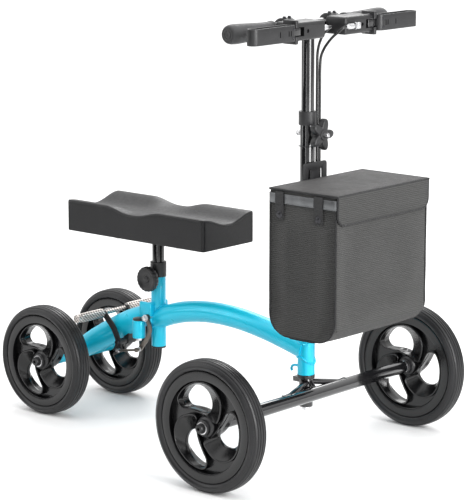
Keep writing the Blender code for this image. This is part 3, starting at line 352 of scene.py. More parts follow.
def boolean(piece, operation, tools):
    """Joins the tools to the piece or cuts them from it, and removes them."""
    for tool in tools:
        modifier = piece.modifiers.new("Boolean", "BOOLEAN")
        modifier.operation = operation
        modifier.object = tool
    settle(piece)
    for tool in tools:
        bpy.data.objects.remove(tool)
    return piece


def joined(name, pieces):
    """One piece from several."""
    first = pieces[0]
    with bpy.context.temp_override(active_object=first, selected_editable_objects=pieces):
        bpy.ops.object.join()
    first.name = name
    first.data.name = name
    return first


def facing(axis, at):
    """A matrix whose local Z is the axis and whose origin is the place."""
    return Matrix.Translation(at) @ Vector(axis).to_track_quat("Z", "Y").to_matrix().to_4x4()


def arc(u, v, radius, first, last, steps):
    """Points on a circle round (u, v), from one angle in degrees to another."""
    angles = [math.radians(first + (last - first) * step / steps) for step in range(steps + 1)]
    return [(u + radius * math.cos(a), v + radius * math.sin(a)) for a in angles]


def ring_of(radius, count):
    """Points evenly round a circle."""
    return arc(0, 0, radius, 0, 360, count)[:-1]


def round_rect(low, high, corner, first=0, steps=6):
    """A rectangle with round corners, anticlockwise from the corner numbered first."""
    points = []
    for quarter in (number % 4 for number in range(first, first + 4)):
        u = high[0] - corner if quarter in (0, 3) else low[0] + corner
        v = high[1] - corner if quarter in (0, 1) else low[1] + corner
        points += arc(u, v, corner, 90 * quarter, 90 * quarter + 90, steps)
    return points


def uneven_ring(place, radii, height):
    """A ring of points that has its own radius at each, set in the plane of the matrix place."""
    turns = [2 * math.pi * index / len(radii) for index in range(len(radii))]
    return [place @ Vector((r * math.cos(t), r * math.sin(t), height)) for r, t in zip(radii, turns)]


def turned(name, profile, at, axis, material, steps=64, closed=True, smooth=38):
    """A solid of revolution from (radius, height) points. A closed profile joins its ends."""
    shape = bmesh.new()
    rings = []
    for radius, height in profile:
        count = steps if radius > 1e-6 else 1
        turns = [2 * math.pi * step / steps for step in range(count)]
        rings.append([shape.verts.new((radius * math.cos(t), radius * math.sin(t), height)) for t in turns])
    pairs = list(zip(rings, rings[1:])) + ([(rings[-1], rings[0])] if closed else [])
    for lower, upper in pairs:
        for step in range(steps):
            after = (step + 1) % steps
            corners = [lower[step % len(lower)], lower[after % len(lower)],
                       upper[after % len(upper)], upper[step % len(upper)]]
            unique = list(dict.fromkeys(corners))
            if len(unique) > 2:
                shape.faces.new(unique)
    shape.transform(facing(axis, at))
    return add_piece(name, shape, material, smooth)


def round_corners(points, radius, steps=3):
    """A profile with each inner corner rounded off."""
    points = [Vector(p) for p in points]
    result = [points[0]]
    for before, corner, after in zip(points, points[1:], points[2:]):
        back, ahead = before - corner, after - corner
        reach = min(radius, back.length * 0.45, ahead.length * 0.45)
        start, end = corner + back.normalized() * reach, corner + ahead.normalized() * reach
        for step in range(steps + 1):
            t = step / steps
            result.append(start * (1 - t) ** 2 + corner * 2 * t * (1 - t) + end * t ** 2)
    return [tuple(p) for p in [*result, points[-1]]]


def rod(name, radius, start, end, material, edge=0.0006, steps=40):
    """A round bar with softened ends."""
    start, end = Vector(start), Vector(end)
    length = (end - start).length
    edge = min(edge, radius * 0.45, length * 0.45)
    profile = round_corners([(0, 0), (radius, 0), (radius, length), (0, length)], edge, 2)
    return turned(name, profile, start, end - start, material, steps, closed=False)


def tube(name, radius, bore, start, end, material, edge=0.0005, steps=56):
    """An open tube with softened ends."""
    start, end = Vector(start), Vector(end)
    length = (end - start).length
    profile = round_corners([(bore, length / 2), (bore, 0), (radius, 0), (radius, length), (bore, length),
                             (bore, length / 2)], edge, 2)
    return turned(name, profile[:-1], start, end - start, material, steps)


def smooth_route(points, pieces=6, loop=False):
    """Points on a Catmull-Rom curve through the given places."""
    points = [Vector(p) for p in points]
    if loop:
        padded = [points[-1], *points, points[0], points[1]]
    else:
        padded = [2 * points[0] - points[1], *points, 2 * points[-1] - points[-2]]
    route = []
    for before, start, end, after in zip(padded, padded[1:], padded[2:], padded[3:]):
        for piece in range(pieces):
            t = piece / pieces
            route.append(0.5 * (2 * start + (end - before) * t
                                + (2 * before - 5 * start + 4 * end - after) * t ** 2
                                + (3 * start - before - 3 * end + after) * t ** 3))
    return route if loop else [*route, points[-1]]


def swept(name, route, radius, material, steps=24, loop=False, flat=1.0, up=None, smooth=38):
    """A bar along a route. radius is one value or one for each point; flat thins it along up."""
    route = [Vector(p) for p in route]
    count = len(route)
    radii = list(radius) if isinstance(radius, (list, tuple)) else [radius] * count
    shape = bmesh.new()
    rings, side = [], Vector(up) if up else None
    for index, place in enumerate(route):
        before = route[index - 1] if index or loop else route[0]
        after = route[(index + 1) % count] if index + 1 < count or loop else route[-1]
        ahead = (after - before).normalized()
        if side is None:
            side = ahead.orthogonal()
        if up:
            side = Vector(up)
        side = (side - ahead * side.dot(ahead)).normalized()
        other = ahead.cross(side)
        turns = [2 * math.pi * step / steps for step in range(steps)]
        rings.append([shape.verts.new(place + radii[index]
                                      * (side * math.cos(t) * flat + other * math.sin(t)))
                      for t in turns])
    pairs = list(zip(rings, rings[1:])) + ([(rings[-1], rings[0])] if loop else [])
    for lower, upper in pairs:
        for step in range(steps):
            after = (step + 1) % steps
            shape.faces.new([lower[step], lower[after], upper[after], upper[step]])
    if not loop:
        shape.faces.new(rings[0])
        shape.faces.new(rings[-1])
    return add_piece(name, shape, material, smooth)


def slab(name, outline, low, high, place, material, bevel=0.0006, holes=(), segments=2):
    """A flat outline with holes, from low to high along the local Z of the matrix place."""
    shape = bmesh.new()
    edges = []
    for loop in [outline, *holes]:
        corners = [shape.verts.new((u, v, low)) for u, v in loop]
        edges += [shape.edges.new((a, b)) for a, b in zip(corners, corners[1:] + corners[:1])]
    bmesh.ops.triangle_fill(shape, use_beauty=True, use_dissolve=False, edges=edges)
    bmesh.ops.dissolve_limit(shape, angle_limit=0.01, verts=shape.verts, edges=shape.edges)
    grown = bmesh.ops.extrude_face_region(shape, geom=shape.faces[:])
    bmesh.ops.translate(shape, vec=(0, 0, high - low),
                        verts=[item for item in grown["geom"] if isinstance(item, bmesh.types.BMVert)])
    shape.transform(place)
    piece = add_piece(name, shape, material)
    return bevelled(piece, bevel, segments) if bevel else piece


def rounded_box(name, low, high, radius, material, segments=3):
    low, high = Vector(low), Vector(high)
    shape = bmesh.new()
    bmesh.ops.create_cube(shape, size=1.0)
    bmesh.ops.scale(shape, vec=high - low, verts=shape.verts)
    bmesh.ops.translate(shape, vec=(low + high) / 2, verts=shape.verts)
    return bevelled(add_piece(name, shape, material), radius, segments)


def lofted(name, loops, material, smooth=38, ring=True):
    """A surface through loops with equal point counts. ring joins the last loop to the first."""
    shape = bmesh.new()
    rows = [[shape.verts.new(p) for p in loop] for loop in loops]
    pairs = list(zip(rows, rows[1:])) + ([(rows[-1], rows[0])] if ring else [])
    for lower, upper in pairs:
        for index in range(len(lower)):
            after = (index + 1) % len(lower)
            shape.faces.new([lower[index], lower[after], upper[after], upper[index]])
    if not ring:
        shape.faces.new(rows[0])
        shape.faces.new(rows[-1])
    return add_piece(name, shape, material, smooth)


def side_place(y):
    """Stands an outline of (x, z) points upright at this y, its thickness along -Y."""
    return Matrix.Translation((0, y, 0)) @ Matrix.Rotation(math.radians(90), 4, "X")


def strip_outline(route, half, cap_steps=6):
    """The outline of a flat strip of constant width with round ends, as (x, z) points."""
    left, right = [], []
    for index, place in enumerate(route):
        ahead = (route[min(index + 1, len(route) - 1)] - route[max(index - 1, 0)]).normalized()
        normal = Vector((-ahead.z, 0, ahead.x))
        left.append(place + normal * half)
        right.append(place - normal * half)

    def cap(centre, start):
        turns = [math.pi * step / cap_steps for step in range(1, cap_steps)]
        return [centre + Matrix.Rotation(turn, 3, "Y") @ (start - centre) for turn in turns]

    points = left + cap(route[-1], left[-1]) + right[::-1] + cap(route[0], right[0])
    return [(p.x, p.z) for p in points]


def hex_bolt(name, at, axis, across, height, material, socket=False):
    """A bolt head on a washer: a hexagon with a chamfered crown, or a round head with a hexagon socket."""
    axis = Vector(axis).normalized()
    reach = across * 0.68
    washer_profile = round_corners([(0, 0), (reach, 0), (reach, 0.0010), (0, 0.0010)], 0.0003, 1)
    washer = turned(name + "_washer", washer_profile, at, axis, material, 28, closed=False)
    corners = ring_of(across * HEX_CORNER, 6)
    if socket:
        radius = across / 2
        head = turned(name + "_head",
                      round_corners([(0, 0), (radius, 0), (radius, height), (0, height)], 0.0007),
                      at + axis * 0.0010, axis, material, 32, closed=False)
        hole = [(u * 0.5, v * 0.5) for u, v in corners]
        boolean(head, "DIFFERENCE", [slab("hole", hole, height * 0.45, height * 1.5,
                                          facing(axis, at + axis * 0.0010), material, 0)])
    else:
        head = slab(name + "_head", corners, 0, height, facing(axis, at + axis * 0.0010), material, 0.0005)
    return joined(name, [head, washer])


def weld_bead(name, route, material="blue", radius=0.0019, loop=True):
    """A weld: overlapping puddles along a seam."""
    dense = smooth_route(route, 5, loop)
    radii = [radius * (1.0 + 0.22 * math.sin(index * 1.9)) for index in range(len(dense))]
    return swept(name, dense, radii, material, 10, loop=loop)


def put(piece, body, slot, *nodes):
    """The piece rides on the body and stands for these CAD nodes. The slot is not used."""
    if nodes:
        piece.name = nodes[0] + "_look"
        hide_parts(*nodes)
    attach(piece, body)
    return piece


# ---------------------------------------------------------------- wheels
REAR_X = PIVOTS["wheel_rear_left"].x
FRONT_X = PIVOTS["wheel_front_left"].x
FRONT_RADIUS, REAR_RADIUS = 0.1197, 0.1080
HUB_HALF = 0.0220
SPOKE_LIP = [(-0.545, 0.350), (-0.410, 0.535), (-0.190, 0.650), (0.040, 0.665), (0.220, 0.560),
             (0.305, 0.400), (0.290, 0.220), (0.215, 0.085), (0.090, 0.150), (-0.080, 0.195), (-0.300, 0.215),
             (-0.470, 0.225)]
SPOKE_HOLE = [(-0.520, 0.350), (-0.394, 0.512), (-0.193, 0.589), (-0.020, 0.530), (0.064, 0.387),
              (0.046, 0.249),
              (-0.030, 0.205), (-0.306, 0.205), (-0.430, 0.212), (-0.500, 0.260)]
SPOKE_MIDDLE = (-0.14, 0.36)


def polar_loop(points, middle, count=72):
    """The closed curve through points, sampled at even angles round the middle as (angle, distance)."""
    dense = smooth_route([(u, v, 0) for u, v in points], 24, loop=True)
    polar = sorted((math.atan2(p.y - middle[1], p.x - middle[0]) % (2 * math.pi),
                    math.hypot(p.y - middle[1], p.x - middle[0])) for p in dense)
    polar = [(polar[-1][0] - 2 * math.pi, polar[-1][1]), *polar, (polar[0][0] + 2 * math.pi, polar[0][1])]
    result = []
    for step in range(count):
        angle = 2 * math.pi * step / count
        for (a0, r0), (a1, r1) in zip(polar, polar[1:]):
            if a0 <= angle <= a1:
                share = (angle - a0) / max(a1 - a0, 1e-9)
                result.append((angle, r0 + (r1 - r0) * share))
                break
    return result


def cup_loop(polar, radius, grow, height, turn):
    """One ring of a spoke cup, in the wheel's own plane: u forward, v up, then turned round the hub."""
    loop = []
    for angle, distance in polar:
        reach = distance * radius + grow
        u = SPOKE_MIDDLE[0] * radius + reach * math.cos(angle)
        v = SPOKE_MIDDLE[1] * radius + reach * math.sin(angle)
        loop.append((u * math.cos(turn) - v * math.sin(turn), u * math.sin(turn) + v * math.cos(turn),
                     height))
    return loop


def tyre_profile(radius, width):
    """A rounded tread with six grooves round it, and flat sides down to the rim."""
    half, drop = width / 2, 0.090 * radius
    grooves = [(side * place, 0.0015) for side in (-1, 1) for place in (0.16, 0.46, 0.76)]
    profile = [(radius * 0.846, half * 0.72), (radius * 0.850, half * 0.80), (radius * 0.868, half * 0.93),
               (radius * 0.895, half * 0.995)]
    for step in range(-48, 49):
        t = -step / 48
        r = radius - drop * abs(t) ** 4.2
        for place, depth in grooves:
            near = abs(t - place) * half
            r -= depth * max(0.0, min(1.0, (0.0013 - near) / 0.0006))
        profile.append((r, t * half))
    return profile + [(r, -h) for r, h in reversed(profile[:4])]


def build_wheel(end, side, word, radius, width):
    label = f"{end}_{word}"
    body = "wheel_" + label
    centre = PIVOTS[body]
    axis = Y_AXIS * side
    half, seat, opening = width * 0.40, radius * 0.845, radius * 0.690
    tyre = turned("tyre_" + label, tyre_profile(radius, width), centre, axis, "tyre", 128, smooth=30)
    put(tyre, body, "tyre_rubber", "tyre_" + label)
    ring_profile = [(seat, -half + 0.002), (seat, half - 0.002), (seat - 0.0010, half - 0.0004),
                    (seat - 0.0030, half),
                    (opening + 0.0030, half), (opening + 0.0008, half - 0.0008), (opening, half - 0.0030),
                    (opening, -half + 0.0030), (opening + 0.0008, -half + 0.0008), (opening + 0.0030, -half),
                    (seat - 0.0030, -half), (seat - 0.0010, -half + 0.0004)]
    ring = turned("rim_" + label, ring_profile, centre, axis, "rim", 128)
    put(ring, body, "black_plastic", "rim_" + label)

    # The wheel's own plane: forward is +u and up is +v, seen from its outer side.
    place = Matrix.Translation(centre) @ Matrix(((1, 0, 0), (0, 0, side), (0, 1, 0))).to_4x4()
    lip, hole = polar_loop(SPOKE_LIP, SPOKE_MIDDLE), polar_loop(SPOKE_HOLE, SPOKE_MIDDLE)
    turns = [math.radians(120 * spoke) for spoke in range(3)]
    eggs = [[(u, v) for u, v, _ in cup_loop(lip, radius, -0.0004, 0, turn)] for turn in turns]
    web = slab("web_" + label, ring_of(opening + 0.0006, 128), -0.0045, 0.0045, place, "gloss", 0, holes=eggs)
    put(web, body, "black_plastic")
    cups = []
    for turn in turns:
        steps = [(lip, 0.0004, 0.0042), (lip, 0.0006, 0.0128), (lip, 0.0002, 0.0140), (lip, -0.0010, 0.0145),
                 (lip, -0.0024, 0.0142), (lip, -0.0030, 0.0130),
                 (hole, 0.0010, 0.0044), (hole, 0.0002, 0.0030)]
        loops = [cup_loop(curve, radius, grow, height, turn) for curve, grow, height in steps]
        loops += [cup_loop(curve, radius, grow, -height, turn) for curve, grow, height in reversed(steps)]
        cup = lofted("cup", loops, "rim", smooth=50)
        cup.data.transform(place)
        cups.append(cup)
    put(joined("spokes_" + label, cups), body, "black_plastic")
    boss_profile = [(0.0056, HUB_HALF), (0.0128, HUB_HALF), (0.0142, HUB_HALF - 0.0012), (0.0150, 0.0158),
                    (0.0186, 0.0136), (0.0200, 0.0100), (0.0212, 0.0042), (0.0212, -0.0042),
                    (0.0200, -0.0100), (0.0186, -0.0136), (0.0150, -0.0158), (0.0142, -HUB_HALF + 0.0012),
                    (0.0128, -HUB_HALF),
                    (0.0056, -HUB_HALF)]
    put(turned("hub_" + label, boss_profile, centre, axis, "plastic", 64), body, "black_plastic")
    bearing = [(0.0058, HUB_HALF + 0.0006), (0.0098, HUB_HALF + 0.0006), (0.0112, HUB_HALF + 0.0002),
               (0.0112, HUB_HALF - 0.004), (0.0058, HUB_HALF - 0.004)]
    shields = [turned("shield", bearing, centre, axis * s, "steel", 48) for s in (1, -1)]
    put(joined("bearings_" + label, shields), body, "zinc_steel")

    # The axle bolt: a shaft through the hub, a spacer inside it, and a domed socket head outside.
    carrier = "steering" if end == "front" else "frame"
    head = [(0, HUB_HALF + 0.0004), (0.0096, HUB_HALF + 0.0008), (0.0096, HUB_HALF + 0.0018),
            (0.0082, HUB_HALF + 0.0020),
            (0.0084, HUB_HALF + 0.0068), (0.0072, HUB_HALF + 0.0088), (0.0044, HUB_HALF + 0.0094),
            (0, HUB_HALF + 0.0094)]
    cap = turned("axle_cap_" + label, head, centre, axis, "plastic", 48, closed=False)
    boolean(cap, "DIFFERENCE",
            [slab("hole", ring_of(0.0036, 6), HUB_HALF + 0.0048, HUB_HALF + 0.02, facing(axis, centre),
                                     "plastic", 0)])
    put(cap, carrier, "zinc_steel")
    shaft = [(0, -HUB_HALF - 0.0052), (0.0090, -HUB_HALF - 0.0052), (0.0090, -HUB_HALF - 0.0008),
             (0.0050, -HUB_HALF - 0.0004), (0.0050, HUB_HALF + 0.0006), (0, HUB_HALF + 0.0006)]
    put(turned("axle_bolt_" + label, shaft, centre, axis, "steel", 40, closed=False), carrier, "zinc_steel",
        f"{end}_axle_bolt_{word}")


for wheel_end, wheel_radius, wheel_width in (("front", FRONT_RADIUS, 0.0400), ("rear", REAR_RADIUS, 0.0450)):
    for wheel_side, side_word in SIDES:
        build_wheel(wheel_end, wheel_side, side_word, wheel_radius, wheel_width)


# ---------------------------------------------------------------- frame
TUBE_RADIUS = 0.0205             # of the arched main tube


def saddle(x, radius, axis_z, slope, other, above):
    """Where an upright tube of this radius leaves a lying tube of the radius other: a closed route."""
    route = []
    for u, v in ring_of(radius, 24):
        rise = math.sqrt(max(other ** 2 - v ** 2, 0)) * math.sqrt(1 + slope ** 2)
        route.append(Vector((x + u, v, axis_z + slope * u + (rise if above else -rise))))
    return route


ARCH = [(0.2060, 0.2030), (0.2190, 0.2085), (0.2450, 0.2180), (0.2800, 0.2275), (0.3300, 0.2348),
        (0.3800, 0.2362),
        (0.4300, 0.2325), (0.4850, 0.2235), (0.5350, 0.2120), (0.5775, 0.2005)]
put(swept("main_tube", smooth_route([at_height(REAR_X + s, z) for s, z in ARCH], 7), TUBE_RADIUS, "blue", 56),
    "frame", "blue_paint", "main_tube")

seat_low, seat_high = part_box("seat_tube")
put(tube("seat_tube", 0.0143, 0.0124, at_height(SEAT_X, seat_low.z), at_height(SEAT_X, seat_high.z), "blue"),
    "frame", "blue_paint", "seat_tube")
plug_profile = round_corners([(0, -0.0035), (0.0143, -0.0035), (0.0143, -0.0003), (0.0118, -0.0003),
                              (0.0118, 0.0080), (0, 0.0080)], 0.0009)
put(turned("seat_tube_plug", plug_profile, at_height(SEAT_X, seat_low.z), Z_AXIS, "plastic", 48,
           closed=False),
    "frame", "black_plastic", "seat_tube_plug")

head_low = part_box("head_tube")[0]
put(tube("head_tube", 0.0160, 0.0128, on_column(head_low.z if head_low.z > 0.15 else 0.1535),
         on_column(0.2620), "blue", 0.0008), "frame", "blue_paint", "head_tube")
hook_route = smooth_route([at_height(COLUMN_X - 0.0135, 0.1650), at_height(COLUMN_X - 0.0225, 0.1668),
                           at_height(COLUMN_X - 0.0310, 0.1650), at_height(COLUMN_X - 0.0347, 0.1600),
                           at_height(COLUMN_X - 0.0335, 0.1545)], 6)
put(swept("stop_hook", hook_route, 0.0024, "blue", 20), "frame", "blue_paint")

arm_end, arm_root = at_height(REAR_X + 0.0150, 0.1210), at_height(REAR_X + 0.1350, 0.1880)
arm_down = (arm_root - arm_end).normalized()
arm_route = smooth_route([at_height(REAR_X + 0.1985, 0.2125), at_height(REAR_X + 0.170, 0.2035), arm_root,
                          (arm_root + arm_end) / 2, arm_end, arm_end - arm_down * 0.012], 8)
arm_sizes = [0.0205, 0.0205, 0.0207, 0.0215, 0.0228, 0.0245, 0.0250, 0.0240, 0.0215, 0.0200, 0.0180]
arm_radii = []
for index in range(len(arm_route)):
    spot = index / (len(arm_route) - 1) * (len(arm_sizes) - 1)
    lower = min(int(spot), len(arm_sizes) - 2)
    arm_radii.append(arm_sizes[lower] + (arm_sizes[lower + 1] - arm_sizes[lower]) * (spot - lower))
put(bevelled(swept("rear_arm", arm_route, arm_radii, "blue", 56), 0.0020, 3), "frame", "blue_paint",
    "rear_arm")

rear_half = abs(PIVOTS["wheel_rear_left"].y) - HUB_HALF - 0.0050
put(tube("rear_axle_tube", 0.0150, 0.0054, (REAR_X, -rear_half, REAR_RADIUS),
         (REAR_X, rear_half, REAR_RADIUS),
         "blue", 0.0010),
    "frame", "blue_paint", "rear_axle_tube")

box_low, box_high = Vector((REAR_X + 0.180, -0.026, 0.198)), Vector((REAR_X + 0.210, 0.026, 0.238))
bracket_box = rounded_box("rear_bracket", box_low, box_high, 0.0030, "blue", 4)
boolean(bracket_box, "DIFFERENCE",
        [rounded_box("gap", (REAR_X + 0.172, -0.0205, 0.2310), (REAR_X + 0.2000, 0.0205, 0.2450),
                                                0.001, "blue")])
put(bracket_box, "frame", "blue_paint", "rear_bracket")
barrel_x, barrel_y = REAR_X + 0.1865, -0.0335
barrel = round_corners([(0, 0.1680), (0.0125, 0.1680), (0.0125, 0.2030), (0, 0.2030)], 0.0012)
put(turned("spring_barrel", barrel, (barrel_x, barrel_y, 0), Z_AXIS, "blue", 48, closed=False), "frame",
    "blue_paint")
cap_profile = round_corners([(0, 0.2030), (0.0118, 0.2030), (0.0118, 0.2068), (0.0060, 0.2085), (0, 0.2085)],
                            0.0010)
put(turned("barrel_cap", cap_profile, (barrel_x, barrel_y, 0), Z_AXIS, "plastic", 40, closed=False), "frame",
    "black_plastic")
bolts = [hex_bolt("bolt_a", Vector((barrel_x, barrel_y, 0.1680)), -Z_AXIS, 0.0100, 0.0050, "steel"),
         hex_bolt("bolt_b", Vector((REAR_X + 0.1800, 0.0140, 0.2140)), -X_AXIS, 0.0090, 0.0045, "steel"),
         hex_bolt("bolt_c", Vector((REAR_X + 0.2065, 0.0262, 0.2100)), Y_AXIS, 0.0100, 0.0050, "steel")]
put(joined("bracket_bolts", bolts), "frame", "zinc_steel")

lug = rod("brake_pivot_lug", 0.0080, PIVOTS["brake"] - Y_AXIS * 0.012, PIVOTS["brake"] + Y_AXIS * 0.012,
          "satin", 0.001)
neck = rounded_box("lug_neck", PIVOTS["brake"] + Vector((-0.0070, -0.0100, 0.0020)),
                   PIVOTS["brake"] + Vector((0.0070, 0.0100, 0.0230)), 0.0015, "satin")
put(joined("brake_pivot_lug", [lug, neck]), "frame", "black_paint", "brake_pivot_lug")

beads = [weld_bead("bead", saddle(SEAT_X, 0.0146, 0.2060, 0.35, TUBE_RADIUS,
                                  above)) for above in (True, False)]
beads += [weld_bead("bead", saddle(COLUMN_X, 0.0163, 0.2005, -0.27, TUBE_RADIUS,
                                   above)) for above in (True, False)]
axle_weld = [Vector((REAR_X + 0.0155 * math.cos(a) * 1.02, y, REAR_RADIUS + 0.0155 * math.sin(a)))
             for a, y in ((math.radians(-60 + 170 * t), 0.0190 * math.cos(math.pi * (t - 0.5))) for t in
                          [s / 10 for s in range(11)])]
beads += [weld_bead("bead", [Vector((p.x, side * p.y, p.z)) for p in axle_weld], loop=False) for side,
          _ in SIDES]
put(joined("frame_welds", beads), "frame", "blue_paint")

knob_at, knob_axis = at_height(SEAT_X, 0.2865), AXES["seat_knob"].normalized()
collar_profile = round_corners([(0.0124, 0.3100), (0.0124, 0.3172), (0.0158, 0.3172), (0.0158, 0.2880),
                                (0.0145, 0.2880),
                                (0.0145, 0.3033), (0.0124, 0.3033)], 0.0008)
collar = turned("seat_collar", collar_profile[:-1], at_height(SEAT_X, 0), Z_AXIS, "satin", 56)
boss = rod("boss", 0.0085, knob_at + knob_axis * 0.0135, knob_at + knob_axis * 0.0200, "satin", 0.0008)
put(joined("seat_collar", [collar, boss]), "frame", "black_plastic", "seat_collar")


# ---------------------------------------------------------------- steering
front_half = abs(PIVOTS["wheel_front_left"].y) - HUB_HALF - 0.0050
axle_beam = tube("axle_beam", 0.0125, 0.0054, (FRONT_X, -front_half, FRONT_RADIUS),
                 (FRONT_X, front_half, FRONT_RADIUS), "black",
                 0.0010)
post = rod("post", 0.0130, on_column(0.0925), on_column(0.1465), "black", 0.0012)
struts = [rod("strut", 0.0056, (COLUMN_X + 0.006, side * 0.004, 0.1400),
              (FRONT_X - 0.001, side * 0.0820, FRONT_RADIUS + 0.006),
              "black") for side, _ in SIDES]
struts.append(rod("strut", 0.0056, (COLUMN_X + 0.0085, 0, 0.1405),
                  (FRONT_X - 0.0020, 0, FRONT_RADIUS + 0.006), "black"))
stop = rounded_box("stop", (COLUMN_X - 0.0270, -0.0060, 0.1370), (COLUMN_X - 0.0080, 0.0060, 0.1465), 0.0012,
                   "black")
feet = [weld_bead("foot", [Vector((FRONT_X - 0.001 + 0.0075 * math.cos(a) - 0.001,
                                   side * (0.0800 + 0.0095 * math.sin(a)),
                                   FRONT_RADIUS + 0.0108 - 0.0016 * math.cos(2 * a))) for a in
                           (2 * math.pi * s / 14 for s in range(14))], "black", 0.0014) for side, _ in SIDES]
collar_weld = [weld_bead("ring", [Vector((COLUMN_X + u, v, 0.1085)) for u, v in ring_of(0.0130, 18)],
                         "black", 0.0015)]
put(joined("front_axle_frame", [axle_beam, post, *struts, stop, *feet, *collar_weld]), "steering",
    "black_paint",
    "front_axle_frame")
put(rod("steering_stem", 0.0100, on_column(0.1460), on_column(0.2700), "steel"), "steering",
    "zinc_steel", "steering_stem")
nut = slab("stem_nut", ring_of(0.0078, 6), 0.0866, 0.0924, Matrix.Translation(on_column(0)), "steel")
stud = rod("stud", 0.0048, on_column(0.0845), on_column(0.0930), "steel", 0.0008)
put(joined("stem_nut", [nut, stud]), "steering", "zinc_steel", "stem_nut")
for name, low, high in (("lower_bearing", 0.1466, 0.1533), ("upper_bearing", 0.2622, 0.2692)):
    profile = round_corners([(0.0102, low), (0.0165, low), (0.0165, high), (0.0102, high), (0.0102, low)],
                            0.0009)
    put(turned(name, profile[:-1], on_column(0), Z_AXIS, "plastic", 56), "steering", "black_plastic", name)

PIN_Z = PIVOTS["column"].z
cheek_outline = [(COLUMN_X - 0.0150, 0.2950), (COLUMN_X + 0.0150, 0.2950),
                 *arc(COLUMN_X, PIN_Z, 0.0130, 0, 180, 15)]
cheeks = [slab("cheek", cheek_outline, -0.00225, 0.00225, side_place(side * 0.0165), "black", 0.0008)
          for side, _ in SIDES]
base = turned("base", round_corners([(0, 0.2703), (0.0190, 0.2703), (0.0190, 0.2960), (0.0165, 0.3000),
                                     (0, 0.3000)],
                                    0.0015), on_column(0), Z_AXIS, "black", 56, closed=False)
put(joined("fold_yoke", [base, *cheeks]), "steering", "black_paint", "fold_yoke")

lever_at = on_column(PIN_Z, -0.0245)
cam = rod("cam", 0.0050, lever_at - X_AXIS * 0.0070, lever_at + X_AXIS * 0.0070, "satin", 0.0010)
handle_route = smooth_route([lever_at, lever_at + Vector((0, -0.002, 0.018)),
                             lever_at + Vector((0, -0.003, 0.038)),
                             lever_at + Vector((0, -0.006, 0.0555))], 6)
grow = [0.0040 + 0.0014 * math.sin(math.pi * i / (len(handle_route) - 1)) ** 2
        for i in range(len(handle_route))]
handle = bevelled(swept("handle", handle_route, grow, "satin", 24, flat=0.75, up=(0, 1, 0)), 0.0012)
put(joined("fold_lever", [cam, handle]), "fold_lever", "black_plastic", "fold_lever")


# ---------------------------------------------------------------- column
knuckle = slab("knuckle", [*arc(COLUMN_X, PIN_Z, 0.0125, 180, 360, 15), (COLUMN_X + 0.0125, 0.3700),
                           (COLUMN_X - 0.0125, 0.3700)], -0.0140, 0.0140,
               side_place(0), "black", 0.0008)
lower = tube("lower", 0.0135, 0.0120, on_column(0.3560), on_column(0.6220), "black")
put(joined("lower_column", [lower, knuckle]), "column", "black_paint", "lower_column")
pin = rod("fold_pin", 0.0040, on_column(PIN_Z, -0.0205), on_column(PIN_Z, 0.0195), "steel")
pin_head = hex_bolt("pin_head", on_column(PIN_Z, 0.0190), Y_AXIS, 0.0115, 0.0042, "steel", socket=True)
put(joined("fold_pin", [pin, pin_head]), "column", "zinc_steel", "fold_pin")
sleeve_profile = round_corners([(0.0120, 0.6300), (0.0120, 0.6435), (0.0163, 0.6435), (0.0163, 0.6185),
                                (0.0138, 0.6185), (0.0138, 0.6225), (0.0120, 0.6225)], 0.0009)
put(turned("column_collar", sleeve_profile[:-1], on_column(0), Z_AXIS, "satin", 56), "column",
    "black_plastic", "column_collar")
STAR_Z = 0.6030
put(hex_bolt("column_pin", at_height(COLUMN_X - 0.0134, STAR_Z), -X_AXIS, 0.0100, 0.0085, "steel"), "column",
    "zinc_steel", "column_pin")

plate_x = COLUMN_X + 0.0160
turn_x = Matrix(((0, 0, 1), (1, 0, 0), (0, 1, 0))).to_4x4()           # outline (y, z), thickness along +X


def slot_outline(middle, half, low, high):
    """An upright slot with round ends, as (y, z) points."""
    return arc(middle, low + half, half, 180, 360, 8) + arc(middle, high - half, half, 0, 180, 8)


slots = [slot_outline(side * 0.0160, 0.0040, 0.5150, 0.5400) for side, _ in SIDES]
back_plate = slab("plate", round_rect((-0.0335, 0.4400), (0.0335, 0.5520), 0.0060, 3, 5), 0, 0.0030,
                  Matrix.Translation((plate_x, 0, 0)) @ turn_x, "satin", 0.0006, holes=slots)
clamp = tube("clamp", 0.0172, 0.0137, on_column(0.4600), on_column(0.4900), "satin", 0.0010)
ears = rounded_box("ears", (COLUMN_X + 0.0110, -0.0120, 0.4610), (plate_x + 0.0010, 0.0120, 0.4890), 0.0010,
                   "satin")
clamp_bolts = [hex_bolt("clamp_bolt", Vector((COLUMN_X - 0.0170, 0, z)), -X_AXIS, 0.0070, 0.0035, "steel",
                        socket=True)
               for z in (0.4680, 0.4820)]
put(joined("bag_bracket", [back_plate, clamp, ears, *clamp_bolts]), "column", "black_plastic", "bag_bracket")
rivets = [turned("rivet", round_corners([(0, 0), (0.0042, 0), (0.0036, 0.0016), (0, 0.0022)], 0.0005),
                 Vector((plate_x, side * 0.0250, z)), -X_AXIS, "steel", 24, closed=False)
          for side, _ in SIDES for z in (0.4480, 0.5450)]
put(joined("bracket_rivets", rivets), "column", "zinc_steel")

star_at = on_column(STAR_Z)


def star_loop(root, tip, height, lobes=5, points=160):
    """One ring of the five-lobed knob."""
    waves = [0.5 + 0.5 * math.cos(lobes * 2 * math.pi * index / points) for index in range(points)]
    return uneven_ring(facing(X_AXIS, star_at), [root + (tip - root) * wave ** 0.8 for wave in waves], height)


